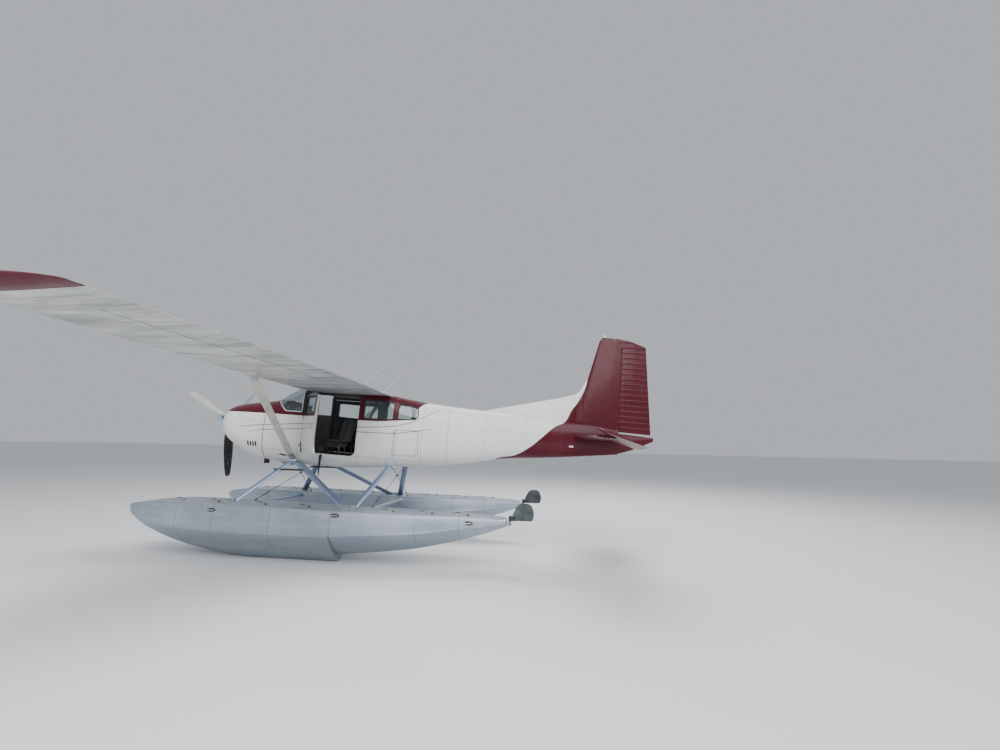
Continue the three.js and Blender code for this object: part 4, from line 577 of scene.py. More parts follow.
# The panes: clear acrylic, six millimetres thick, set in the openings' edges. A slim bright
# strip runs down the middle of the windscreen and along each edge that holds the acrylic.
acrylic = blank("clear_acrylic")
scuffs = grain(acrylic, drawn_place(acrylic)[0], 30, 4.0)
see_through = acrylic.node_tree.nodes.new("ShaderNodeBsdfTransparent")
see_through.inputs[0].default_value = (0.86, 0.90, 0.90, 1)
gloss = acrylic.node_tree.nodes.new("ShaderNodeBsdfGlossy")
gloss.inputs[0].default_value = (0.95, 0.97, 1.0, 1)
acrylic.node_tree.links.new(ramped(acrylic, scuffs, 0.4, 0.8, 0.01, 0.04), gloss.inputs["Roughness"])
facing = acrylic.node_tree.nodes.new("ShaderNodeLayerWeight")
facing.inputs[0].default_value = 0.22
shine = ramped(acrylic, facing.outputs["Fresnel"], 0.0, 1.0, 0.04, 0.50)
pane_mix = feed(acrylic, acrylic.node_tree.nodes.new("ShaderNodeMixShader"), shine, see_through.outputs[0],
                gloss.outputs[0])
feed(acrylic, acrylic.node_tree.nodes.new("ShaderNodeOutputMaterial"), pane_mix.outputs[0])


def round_steps(count):
    """Angles in even steps once round."""
    return [2 * math.pi * k / count for k in range(count)]


def bar(name, path, radius, sides=10, closed=False, thin=1.0, out=(0, 1, 0)):
    """A bar along a path, round or thinner in one direction; radius is a size or one for each point."""
    path = [Vector(p) for p in path]
    sizes = radius if isinstance(radius, (list, tuple)) else [radius] * len(path)
    normal = Vector(out)
    rings = []
    for i, (p, size) in enumerate(zip(path, sizes)):
        ahead = path[(i + 1) % len(path)] if closed or i + 1 < len(path) else p
        behind = path[i - 1] if closed or i > 0 else p
        heading = (ahead - behind).normalized()
        normal = (normal - heading * normal.dot(heading)).normalized()
        across = heading.cross(normal)
        rings.append([p + (normal * math.cos(a) * thin + across * math.sin(a)) * size
                      for a in round_steps(sides)])
    if not closed:
        return loft(name, rings)
    total = sides * len(rings)
    faces = [(i + j, i + (j + 1) % sides, (i + sides) % total + (j + 1) % sides, (i + sides) % total + j)
             for i in range(0, total, sides) for j in range(sides)]
    return solid(name, [p for ring in rings for p in ring], faces)


def on_skin(outline, side, lift=0.0):
    """An outline laid on the body's skin."""
    return [Vector((x, side * (half_width(x, z) + lift), z)) for x, z in outline]


def pane(outline, side, inset=0.010):
    """A pane that follows the body, a little inside its skin."""
    layer = carved(body_block(1.9, 4.2, inset), body_block(1.89, 4.21, inset + 0.006))
    return carved(layer, side_block(rounded(shrunk(outline, 0.001)), side), how="INTERSECT")


def joined(*pieces):
    """Several pieces made one."""
    work = bmesh.new()
    for piece in pieces:
        work.from_mesh(piece.data)
    work.to_mesh(pieces[0].data)
    work.free()
    for piece in pieces[1:]:
        bpy.data.objects.remove(piece)
    return pieces[0]


seal_rubber = mottled("window_seal_rubber", 40, 3.0, (0.018, 0.018, 0.020), (0.040, 0.040, 0.042), 0.75)
strip_metal = mottled("windscreen_strip_metal", 60, 3.0, (0.62, 0.68, 0.75), (0.78, 0.82, 0.86), 0.30,
                      metallic=0.85)

for side, hand in ((-1, "left"), (1, "right")):
    for name, outline in REAR_WINDOWS.items():
        fastened(pane(outline, side), f"rear_pane_{name}_{hand}", "airframe", "glazing", acrylic,
                 instead_of=(f"rear_glass_{name}_{hand}",))
        rim = rounded(shrunk(outline, -0.002), 10)
        seal = bar("seal", on_skin(rim, side, 0.001), 0.008, 8, True, 0.5)
        fastened(seal, f"rear_seal_{name}_{hand}", "airframe", "dark_trim", seal_rubber)

screen = carved(body_block(1.30, 2.0, 0.0, 0.03), body_block(1.29, 2.01, 0.006, 0.03))
pane_edge = [(x + (FIT if x < 1.7 else -FIT), z + (FIT if z < 0.5 else 0)) for x, z in WINDSCREEN]
carved(screen, pushed(pane_edge, -0.9, 0.9), how="INTERSECT")
fastened(screen, "windscreen", "airframe", "glazing", acrylic, instead_of=("windshield",), crease=60)

strips = []
top_line = [Vector((x, 0, through(BODY, x)[0] - 0.003)) for x in np.linspace(1.372, 1.95, 24)]
strips.append(bar("strip", top_line, 0.011, 8, False, 0.35, (-0.5, 0, 0.9)))
for side in (-1, 1):
    edge = [(x, 0.452 + (x - 1.350) * (0.205 - 0.452) / 0.275) for x in np.linspace(1.372, 1.625, 14)]
    edge += [(x, 0.205) for x in np.linspace(1.64, 1.928, 10)]
    strips.append(bar("strip", on_skin(edge, side, -0.002), 0.009, 8, False, 0.4))
    post = [(1.934, z) for z in np.linspace(0.205, 0.575, 16)]
    strips.append(bar("strip", on_skin(post, side, -0.002), 0.008, 8, False, 0.4))
fastened(joined(*strips), "windscreen_strips", "airframe", "strut_metal", strip_metal)

# The cabin doors: pressed inner and outer skins with a framed window, hinged on the front
# post. The left one stands open, so its paint was laid out with the door shut.
DOOR_HINGE = Vector((1.975, 0.542, 0))
DOOR_KNUCKLES, KNUCKLE_TALL = (-0.345, 0.085), 0.026
DOOR_DEEP, DOOR_GAP, DOOR_STEPS = 0.036, 0.007, 10
LEFT_DOOR_OPEN = math.radians(51)
bare_metal = mottled("worn_bare_metal", 35, 5.0, (0.42, 0.43, 0.45), (0.66, 0.67, 0.69), (90, 0.28, 0.48),
                     metallic=0.9)
edge_cream = mottled("door_edge_cream", 12, 4.0, (0.66, 0.63, 0.54), (0.50, 0.47, 0.40), 0.45)
# The dark entry paints shade on the door: near black round its window, above its lower edge.
door_paint = livery("door_paint", joints_x=(2.06, 2.885), joints_z=(-0.40,), ribs=0.9, stringers=0.9,
                    dark=(0.160, 1.8, 3.2))


def turned(angle, at, axis):
    """A turn about a line through a point."""
    return Matrix.Translation(at) @ Matrix.Rotation(angle, 4, axis) @ Matrix.Translation(-Vector(at))


def knuckles(x, y, heights, side, lift):
    """Hinge barrels that share one upright pin."""
    return [bar("knuckle", [(x, side * y, z + lift), (x, side * y, z + lift + KNUCKLE_TALL)], 0.009, 16)
            for z in heights]


for side, hand in ((-1, "left"), (1, "right")):
    hinge = Vector((DOOR_HINGE.x, side * DOOR_HINGE.y, 0))
    place = AIRFRAME @ turned(-LEFT_DOOR_OPEN, hinge, "Z") if side < 0 else AIRFRAME
    body = f"{hand}_door"
    leaf = carved(body_block(1.7, 3.2, 0, 0.05), body_block(1.69, 3.21, DOOR_DEEP, 0.05))
    carved(leaf, side_block(rounded(shrunk(DOOR_OUTLINE, DOOR_GAP), DOOR_STEPS), side), how="INTERSECT")
    carved(leaf, side_block(rounded(DOOR_WINDOW), side))
    second_finish(leaf, lambda p: abs(p.y) < half_width(p.x, p.z) - 0.030)
    second_finish(leaf, lambda p: p.x > 2.9385 and abs(p.y) > half_width(p.x, p.z) - 0.034, 2)
    fastened(leaf, f"door_leaf_{hand}", body, "white_paint", door_paint, lining, edge_cream, axes=place,
             instead_of=(f"door_{hand}",))
    fastened(pane(DOOR_WINDOW, side), f"door_pane_{hand}", body, "glazing", acrylic, axes=place,
             instead_of=(f"door_glass_{hand}",))
    edge = lambda outline, inwards, lift: on_skin(rounded(shrunk(outline, inwards), DOOR_STEPS), side, lift)
    rims = [bar("rim", edge(DOOR_WINDOW, -0.002, lift), 0.009, 8, True, 0.5) for lift in (0.001, -0.037)]
    rims.append(bar("rim", edge(DOOR_OUTLINE, 0.016, -0.033), 0.007, 8, True))
    fastened(joined(*rims), f"door_seals_{hand}", body, "dark_trim", seal_rubber, axes=place)
    skin = lambda x, z, lift: on_skin([(x, z)], side, lift)[0]
    handle = [bar("handle", [skin(2.80, -0.02, 0.0), skin(2.80, -0.02, 0.022)], 0.011, 16),
              bar("handle", [skin(2.80, -0.02, 0.020), skin(2.74, -0.022, 0.022), skin(2.67, -0.026, 0.016)],
                  [0.012, 0.010, 0.007], 12, False, 0.5),
              bar("latch", [Vector((2.930, skin(2.93, 0.0, -0.024).y, z)) for z in (-0.03, 0.03)], 0.008, 10)]
    handle += knuckles(*DOOR_HINGE.xy, DOOR_KNUCKLES, side, KNUCKLE_TALL + FIT)
    fastened(joined(*handle), f"door_handle_{hand}", body, "strut_metal", bare_metal, axes=place)
    rest = [bar("rest", [skin(x, -0.16, -0.060) for x in (2.20, 2.30, 2.60, 2.68)],
                [0.010, 0.030, 0.030, 0.010], 14),
            bar("pull", [(2.72, skin(2.72, 0.02, lift).y, z) for z, lift in
                         ((0.05, -0.038), (0.03, -0.060), (-0.05, -0.060), (-0.07, -0.038))], 0.007, 10)]
    fastened(joined(*rest), f"door_armrest_{hand}", body, "dark_trim", seal_rubber, axes=place)
    posts = knuckles(*DOOR_HINGE.xy, DOOR_KNUCKLES, side, 0)
    fastened(joined(*posts), f"door_post_knuckles_{hand}", "airframe", "strut_metal", bare_metal)
    jamb = bar("jamb", edge(DOOR_OUTLINE, -0.004, -0.022), 0.006, 8, True)
    # Painted shadow: a flat dark strip along the skin over the doorway stands for the band of shade at the
    # top of the opening.
    over_door = [skin(x, 0.542, 0.001) for x in np.linspace(1.965, 2.965, 20)]
    shadow_strip = bar("shadow_strip", over_door, 0.026, 8, False, 0.10)
    fastened(joined(jamb, shadow_strip), f"door_jamb_seal_and_shadow_strip_{hand}", "airframe", "dark_trim", seal_rubber)

# The baggage door: one pressed panel on the left behind the cabin, hinged at its front edge,
# with a small latch in the middle of its rear edge.
hatch = carved(body_block(3.4, 4.2, 0, 0.05), body_block(3.39, 4.21, WALL, 0.05))
carved(hatch, side_block(rounded(shrunk(BAGGAGE_DOOR, DOOR_GAP), DOOR_STEPS), -1), how="INTERSECT")
second_finish(hatch, lambda p: abs(p.y) < half_width(p.x, p.z) - 0.016)
hatch_paint = livery("hatch_paint", joints_x=(3.62, 3.95), ribs=1.9, stringers=1.9)
fastened(hatch, "baggage_panel", "baggage_hatch", "white_paint", hatch_paint, lining,
         instead_of=("baggage_door",))
HATCH_HINGE = (3.578, 0.506, (-0.330, -0.060), -1)
latch_y = -half_width(3.94, -0.257)
latch = [bar("latch", [(3.94, latch_y + out, -0.257) for out in (0.004, -0.006)], 0.020, 20),
         bar("latch", [(3.94, -half_width(3.94, z) - 0.008, height) for z, height in
                       ((-0.257, -0.240), (-0.274, -0.274))], 0.006, 8)]
latch += knuckles(*HATCH_HINGE, KNUCKLE_TALL + FIT)
fastened(joined(*latch), "baggage_latch", "baggage_hatch", "strut_metal", bare_metal)
hatch_posts = knuckles(*HATCH_HINGE, 0)
fastened(joined(*hatch_posts), "baggage_post_knuckles", "airframe", "strut_metal", bare_metal)

# The cabin inside: a dark floor, the instrument board with its dials and two yokes, two front
# seats and a rear bench in charcoal cloth over foam, and lap and shoulder belts.
floor_mat = blank("cabin_floor_mat")
mat_place = packed_place(floor_mat)
lay(floor_mat, mixed(floor_mat, grain(floor_mat, mat_place, 12, 5.0), (0.014, 0.014, 0.015),
                     (0.040, 0.038, 0.036)), 0.9,
    times(floor_mat, grain(floor_mat, mat_place, 300), 0.001))
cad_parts["cabin_floor"].data.materials[0] = floor_mat

board_black = blank("crackle_black")
board_place = drawn_place(board_black)[0]
lay(board_black, mixed(board_black, grain(board_black, board_place, 25), (0.012, 0.012, 0.013),
                       (0.03, 0.03, 0.03)), 0.6,
    times(board_black, grain(board_black, board_place, 500), 0.0004))
edge = [(y, z) for y, z in ((p.y, min(max(p.z, -0.08), 0.36)) for p in hoop(1.53, WALL + 0.004, 160))]
board = [pushed(edge, 1.500, 1.560, "x")]
for side in (-1, 1):
    y = 0.235 * side
    board.append(bar("column", [(1.54, y, 0.09), (1.77, y, 0.09)], 0.014, 14))
    horns = [(1.776, y + s * 0.118 + s * 0.012 * math.sin(t * math.pi), 0.09 + 0.09 * t) for s, ts in
             ((-1, (1, 0.6, 0.2, 0)), (1, (0, 0.2, 0.6, 1))) for t in ts]
    board.append(bar("yoke", horns, 0.012, 12, False, 1.0, (1, 0, 0)))
fastened(joined(*board), "instrument_board", "airframe", "dark_trim", board_black,
         instead_of=("instrument_panel",))
dial_face = mottled("dial_faces", 160, 3.0, (0.02, 0.02, 0.02), (0.25, 0.25, 0.24), 0.15, coat_weight=0.5)
dials = [bar("dial", [(1.560, y, z), (1.566, y, z)], radius, 24) for y, z, radius in
         [(-0.36 + 0.09 * i, 0.26 - 0.09 * j, 0.038) for j in range(2) for i in range(5)]
         + [(0.14 + 0.08 * i, 0.24 - 0.09 * j, 0.030) for j in range(2) for i in range(3)]]
fastened(joined(*dials), "instrument_dials", "airframe", "dark_trim", dial_face)

seat_cloth = blank("charcoal_seat_cloth")
cloth_place, cloth_x, cloth_y, cloth_z = drawn_place(seat_cloth)
threads = times(seat_cloth, calc(seat_cloth, "SINE", times(seat_cloth, cloth_y, 2600)),
               calc(seat_cloth, "SINE", times(seat_cloth, calc(seat_cloth, "ADD", cloth_x, cloth_z), 2600)))
worn = grain(seat_cloth, cloth_place, 9, 4.0)
lay(seat_cloth, mixed(seat_cloth, worn, (0.010, 0.011, 0.014), (0.026, 0.026, 0.030)), 0.85,
    calc(seat_cloth, "ADD", times(seat_cloth, threads, 0.0002), times(seat_cloth, worn, 0.004)),
    sheen_weight=0.35, sheen_roughness=0.5)
seat_frame_grey = mottled("seat_frame_enamel", 30, 3.0, (0.10, 0.10, 0.10), (0.20, 0.20, 0.20),
                          0.5, metallic=0.3)


def stuffed(length, width, thick, most=0.016):
    """A cushion lying flat: foam in a sewn cover, swelled between its edges."""
    cushion = pushed(four(-length / 2, -width / 2, length / 2, width / 2), -thick / 2, thick / 2, "z")
    edges = cushion.modifiers.new("edges", "BEVEL")
    edges.width, edges.segments = 0.3 * thick, 4
    even = cushion.modifiers.new("even", "REMESH")
    even.mode, even.voxel_size = "VOXEL", 0.014
    settled(cushion)
    before = np.array([v.co for v in cushion.data.vertices])
    cover = cushion.modifiers.new("cover", "CLOTH")
    cover.settings.use_pressure = True
    cover.settings.uniform_pressure_force = 4
    cover.settings.effector_weights.gravity = 0
    for step in range(1, 13):
        bpy.context.scene.frame_set(step)
    settled(cushion)
    after = np.array([v.co for v in cushion.data.vertices])
    moved = after - before
    far = np.maximum(np.linalg.norm(moved, axis=1, keepdims=True) / most, 1)
    for vertex, spot in zip(cushion.data.vertices, before + moved / far):
        vertex.co = spot
    bpy.context.scene.frame_set(1)
    cushion.modifiers.new("smoother", "SUBSURF").levels = 1
    return settled(cushion)


for name, x, y, half, long, top in (("seat_left", 2.18, -0.235, 0.205, 0.46, 0.175),
                                    ("seat_right", 2.18, 0.235, 0.205, 0.46, 0.175),
                                    ("rear_bench", 3.01, 0.0, 0.40, 0.43, 0.19)):
    squab = stuffed(long - 0.03, 2 * half - 0.03, 0.085)
    squab.data.transform(Matrix.Translation((x + long / 2 - 0.005, y, -0.285)))
    tall = top + 0.27
    back = stuffed(tall - 0.03, 2 * half - 0.03, 0.065)
    upright = Matrix.Rotation(-math.atan2(tall, 0.10), 4, "Y")
    back.data.transform(Matrix.Translation((x + long + 0.015, y, (top - 0.27) / 2)) @ upright)
    fastened(squab, f"{name}_squab", "airframe", "dark_trim", seat_cloth, instead_of=(name,), crease=80)
    fastened(back, f"{name}_back", "airframe", "dark_trim", seat_cloth, crease=80)
    tubes = []
    for s in (-1, 1):
        foot = y + s * (half - 0.10)
        tubes += [bar("rail", [(x + 0.04, foot, -0.509), (x + long - 0.02, foot, -0.509)], 0.010, 8),
                  bar("leg", [(x + 0.06, foot, -0.505), (x + 0.07, foot, -0.330)], 0.011, 10),
                  bar("leg", [(x + long - 0.04, foot, -0.505), (x + long - 0.06, foot, -0.330)], 0.011, 10)]
    tubes.append(bar("frame", [(x + 0.03, y - half + 0.02, -0.335), (x + 0.03, y + half - 0.02, -0.335)],
                     0.010, 8))
    fastened(joined(*tubes), f"{name}_frame", "airframe", "dark_trim", seat_frame_grey)

webbing = mottled("belt_webbing", 600, 3.0, (0.010, 0.010, 0.011), (0.035, 0.035, 0.035), 0.8)
belts = [bar("belt", [(3.236, -0.468, 0.478), (3.17, -0.43, 0.34), (3.10, -0.40, 0.20), (3.05, -0.36, 0.02),
                      (3.03, -0.33, -0.20)], 0.022, 8, False, 0.08, (0.3, 1, 0.2)),
         bar("belt", [(2.36, -0.430, -0.24), (2.352, -0.448, -0.36), (2.350, -0.452, -0.47)],
             0.020, 8, False, 0.1),
         bar("belt", [(2.30, -0.06, -0.215), (2.42, -0.235, -0.200), (2.36, -0.42, -0.225)],
             0.020, 8, False, 0.1, (0, 0, 1))]
fastened(joined(*belts), "cabin_belts", "airframe", "dark_trim", webbing)
y_sill = -half_width(2.349, -0.47)
hanging = [(2.349, y_sill + inwards, z) for inwards, z in
           ((0.006, -0.470), (-0.008, -0.510), (-0.006, -0.60), (0.0, -0.70), (0.004, -0.80), (0.006, -0.84))]
strap = bar("strap", hanging, [0.022, 0.022, 0.020, 0.015, 0.009, 0.003], 8, False, 0.14)
fastened(strap, "door_check_strap", "airframe", "dark_trim", webbing)

# The cowling: two painted halves and a nose bowl with an air inlet each side of the spinner
# and one below. Four slanted louvres are pressed in each cheek; they, and two vents on the left
# further aft, are drawn as flat dark bars on the skin, painted shade for their openings. The
# engine's air leaves through the lower opening round the exhaust pipe.
nose = [hoop(0.310 + 0.0385 * (1 - math.cos(a)), 0.040 * (1 - math.sin(a)))
        for a in np.linspace(0, math.pi / 2, 7)]
cowl = loft("cowl", nose + [hoop(x) for x in np.linspace(0.37, 1.2466, 34)])
carved(cowl, body_block(0.335, 1.30, 0.010, 0.04))
inlet = rounded(four(0.110, -0.085, 0.250, 0.040, 0.06))
carved(cowl, bar("hole", [(0.28, 0, 0), (0.345, 0, 0)], 0.070, 40), pushed(inlet, 0.28, 0.42, "x"),
       pushed([(-y, z) for y, z in inlet], 0.28, 0.42, "x"),
       pushed(rounded(four(-0.09, -0.33, 0.09, -0.215, 0.05)), 0.30, 0.47, "x"),
       pushed(rounded(four(1.08, -0.23, 1.30, 0.23, 0.04, 0.001)), -0.80, -0.56, "z"))
soot_and_shade = mottled("engine_bay_soot_and_shade", 14, 3.0, (0.010, 0.010, 0.010), (0.035, 0.032, 0.030), 0.8)
# The cowl's inside faces are coloured near black: soot and painted shade.
second_finish(cowl, lambda p: p.x > 0.345 and abs(p.y) < half_width(p.x, p.z, 0.005) - 0.003
              and p.z < through(BODY, p.x)[0] - 0.006 and p.z > through(BODY, p.x)[1] + 0.006)
cowl_paint = livery("cowl_paint", joints_x=(0.435, 1.243), joints_z=(-0.008,), ribs=0.40, stringers=0.31)
fastened(cowl, "cowling", "airframe", "white_paint", cowl_paint, soot_and_shade, instead_of=("cowl",))
# Painted shade: these dark bars stand for the shade inside the louvres and vents.
slots = []
for side in (-1, 1):
    for x in (0.974, 1.026, 1.078, 1.128):
        lean = on_skin([(x - 0.004 + 0.008 * t, -0.352 - 0.086 * t)
                        for t in (0, 0.25, 0.5, 0.75, 1)], side, -0.002)
        slots.append(bar("slot", lean, [0.013, 0.019, 0.019, 0.019, 0.013], 10, False, 0.3))
for x0, x1, z in ((1.575, 1.725, -0.520), (1.945, 1.972, -0.350)):
    line = on_skin([(x, z - (x - x0) * 0.12) for x in np.linspace(x0, x1, 6)], -1, -0.002)
    slots.append(bar("slot", line, [0.010, 0.019, 0.021, 0.021, 0.019, 0.010], 8, False, 0.2))
fastened(joined(*slots), "cowl_louvre_shade_bars", "airframe", "dark_trim", soot_and_shade)
oily_iron = blank("oily_engine_iron")
iron_place = packed_place(oily_iron)
lay(oily_iron, mixed(oily_iron, grain(oily_iron, iron_place, 11, 5.0), (0.045, 0.045, 0.045),
                     (0.16, 0.15, 0.14)), 0.55,
    times(oily_iron, grain(oily_iron, iron_place, 60), 0.004), metallic=0.5)
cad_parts["engine"].data.materials[0] = oily_iron
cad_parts["firewall"].data.materials[0] = oily_iron
burnt_steel = mottled("burnt_exhaust_steel", 22, 5.0, (0.018, 0.015, 0.014), (0.070, 0.052, 0.042), 0.6,
                      metallic=0.6)
stack = [(1.105, -0.152, -0.182), (1.120, -0.158, -0.26), (1.140, -0.166, -0.36), (1.165, -0.176, -0.48),
         (1.185, -0.184, -0.60), (1.203, -0.190, -0.672), (1.212, -0.194, -0.722)]
pipe_bore = bar("bore", [(1.19, -0.185, -0.62), (1.22, -0.197, -0.76)], [0.032, 0.043], 24)
pipe = carved(bar("pipe", stack, [0.035] * 5 + [0.044, 0.047], 28), pipe_bore)
fastened(pipe, "exhaust_stack", "airframe", "engine_metal", burnt_steel, instead_of=("exhaust_pipe",))

# The propeller: three forged blades in a hub under a spun spinner. The blades' paint is worn
# to bare metal in patches; the lowest blade's back is matt black.
BLADE = np.array([  # distance out, chord, thickness, pitch in degrees
    (0.060, 0.076, 0.070, 20), (0.190, 0.096, 0.054, 42), (0.330, 0.150, 0.027, 36),
    (0.620, 0.165, 0.017, 25), (0.900, 0.138, 0.011, 18), (1.050, 0.096, 0.007, 16),
    (1.080, 0.044, 0.005, 16)])
BLADE_HUB_X = 0.215


def blade_finish(name, back, front):
    """Worn blade enamel: one colour behind, another ahead, and bare metal where it has worn."""
    finish = blank(name)
    place, x, y, z = drawn_place(finish)
    normal = feed(finish, finish.node_tree.nodes.new("ShaderNodeSeparateXYZ"),
                  finish.node_tree.nodes.new("ShaderNodeNewGeometry").outputs["Normal"])
    worn = ramped(finish, grain(finish, place, 30, 5.0), 0.60, 0.70)
    side = ramped(finish, normal.outputs[0], -0.1, 0.1)
    colour = mixed(finish, side, front, back)
    return lay(finish, mixed(finish, times(finish, worn, 0.5), colour, (0.45, 0.45, 0.46)),
               ramped(finish, worn, 0, 1, 0.55, 0.35), times(finish, worn, -0.0002), metallic=0.1)


blade_black = blade_finish("black_blade_enamel", (0.012, 0.012, 0.013), (0.42, 0.43, 0.42))
blade_grey = blade_finish("grey_blade_enamel", (0.50, 0.51, 0.50), (0.42, 0.43, 0.42))
BLADES = ((-79.5, blade_black, "low"), (40.5, blade_grey, "far"), (160.5, blade_grey, "near"))
for angle, finish, word in BLADES:
    out = Vector((0, math.cos(math.radians(angle)), math.sin(math.radians(angle))))
    turn = Vector((0, -out.z, out.y))
    rings = []
    for r in np.concatenate([np.linspace(0.07, 0.30, 10), np.linspace(0.33, 1.05, 24),
                             [1.062, 1.072, 1.078, 1.080]]):
        chord, thick, pitch = through(BLADE, r)
        tilt = math.radians(pitch)
        ring = []
        for a in round_steps(32):
            u, v = chord / 2 * math.cos(a), thick / 2 * math.sin(a)
            ring.append(Vector((BLADE_HUB_X + u * math.sin(tilt) + v * math.cos(tilt), 0, 0)) + out * r
                        + turn * (u * math.cos(tilt) - v * math.sin(tilt)))
        rings.append(ring)
    one = fastened(loft("blade", rings), f"propeller_blade_{word}", "propeller_hub", "strut_metal",
                   finish, crease=60)
    if word == "low":
        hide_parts("propeller")
hub = bar("hub", [(0.145, 0, 0), (0.151, 0, 0), (0.279, 0, 0), (0.285, 0, 0)],
          [0.085, 0.095, 0.095, 0.085], 40)
fastened(hub, "propeller_hub_shell", "propeller_hub", "strut_metal", bare_metal)

SPINNER = np.array([(-0.065, 0.004), (-0.060, 0.015), (-0.045, 0.028), (0.0, 0.056), (0.060, 0.086),
                    (0.120, 0.112), (0.170, 0.132), (0.225, 0.150), (0.300, 0.165)])
SPINNER_WALL = 0.005
spots = np.concatenate([[-0.065, -0.063, -0.059, -0.053], np.linspace(-0.045, 0.300, 26)])


def spun_rings(spots, less, ahead):
    """Rings of the spinner's shape at stations, made smaller by a wall and moved aft."""
    sizes = [float(through(SPINNER, x)[0]) - less for x in spots]
    return [[Vector((x + ahead, r * math.cos(a), r * math.sin(a))) for a in round_steps(64)]
            for x, r in zip(spots, sizes)]


spinner = loft("spinner", spun_rings(spots, 0, 0))
inner = loft("inner", spun_rings(np.linspace(-0.045, 0.291, 14), SPINNER_WALL, SPINNER_WALL))
holes = [bar("hole", [(BLADE_HUB_X, r * math.cos(a), r * math.sin(a)) for r in (0.09, 0.3)], 0.062, 32)
         for a in (math.radians(angle) for angle, _, _ in BLADES)]
carved(spinner, inner, *holes)
# The spinner's pale blue is painted sky reflection on the spun metal.
spun = blank("spun_spinner_sky_tint")
spun_place = drawn_place(spun)[0]
rings_of_spinning = grain(spun, spun_place, 1.0, 3.0, 0.5, stretch=(500, 2, 2))
lay(spun, mixed(spun, grain(spun, spun_place, 12, 4.0), (0.40, 0.60, 0.80), (0.52, 0.70, 0.86)), 0.25,
    times(spun, rings_of_spinning, 0.0002), metallic=0.5, coat_weight=0.1)
fastened(spinner, "spinner_shell", "propeller_hub", "strut_metal", spun, instead_of=("spinner",))

# The wings: ribs and two spars under riveted sheet, one faired strut on each side. Flaps and
# ailerons have beaded skins and turn on hinges behind a rounded nose; the tip caps are moulded
# and painted maroon.

# Each surface's name, inner and outer end, chord at each end and nose radius at each end.
SURFACES = (("flap", 0.640, 2.905, 0.400, 0.375, 0.062, 0.058),
            ("aileron", 2.935, 4.895, 0.392, 0.362, 0.056, 0.050))
GAP = 0.007


def wing_block(y0, y1):
    """A length of the wing."""
    middle = [WING_BREAK] if y0 < WING_BREAK < y1 else []
    return loft("wing", [[on_station(at, *p) for p in section()]
                         for at in map(wing_station, [y0, *middle, y1])])


def hinge_line(y0, y1, chord0, chord1, extra):
    """The line that a surface turns about, carried past its ends."""
    ends = []
    for y, chord in ((y0, chord0), (y1, chord1)):
        at = wing_station(y)
        ends.append(on_station(at, 1 - chord / at["chord"], 0.012))
    a, b = ends
    along = (b - a).normalized()
    return a - along * (extra / along.y), b + along * (extra / along.y)


NOSE_STEPS = [math.pi / 2 + math.pi * k / 20 for k in range(21)]


def nosed_block(a, b, radius_a, radius_b, reach=0.9):
    """Everything behind a hinge line, with a round nose about it."""
    rings = []
    for centre, radius in ((a, radius_a), (b, radius_b)):
        nose = [centre + Vector((radius * math.cos(t), 0, radius * math.sin(t))) for t in NOSE_STEPS]
        rings.append([centre + Vector((reach, 0, reach / 2)), centre + Vector((0, 0, reach / 2)), *nose,
                      centre - Vector((0, 0, reach / 2)), centre + Vector((reach, 0, -reach / 2))])
    return loft("hinge", rings)


def handed(piece, side):
    """Mirrors a piece drawn on the right to the left side."""
    if side < 0:
        piece.data.transform(Matrix.Diagonal((1, -1, 1, 1)))
        piece.data.flip_normals()
    return piece


tip_maroon = blank("maroon_tip_enamel")
tip_place = drawn_place(tip_maroon)[0]
lay(tip_maroon, mixed(tip_maroon, grain(tip_maroon, tip_place, 5, 4.0), MAROON, (0.092, 0.007, 0.017)),
    ramped(tip_maroon, grain(tip_maroon, tip_place, 12, 4.0), 0.3, 0.7, 0.22, 0.36),
    times(tip_maroon, grain(tip_maroon, tip_place, 4), 0.004), coat_weight=0.08, specular_ior_level=0.25)
TIP = np.array([  # y, how far the nose moves aft, chord, thickness, lift
    (5.340, 0.000, 1.0928, 1.00, 0.000), (5.390, 0.012, 1.059, 0.92, 0.004),
    (5.430, 0.050, 0.990, 0.70, 0.016), (5.450, 0.110, 0.835, 0.48, 0.030),
    (5.460, 0.230, 0.435, 0.25, 0.044)])
lamp_lens = {}
for name, colour in (("red", (0.55, 0.02, 0.01)), ("green", (0.01, 0.30, 0.10)),
                     ("white", (0.85, 0.85, 0.82))):
    lamp_lens[name] = mottled(f"{name}_lamp_lens", 90, 3.0, colour, tuple(c * 0.7 for c in colour), 0.08,
                              coat_weight=0.6, transmission_weight=0.3)

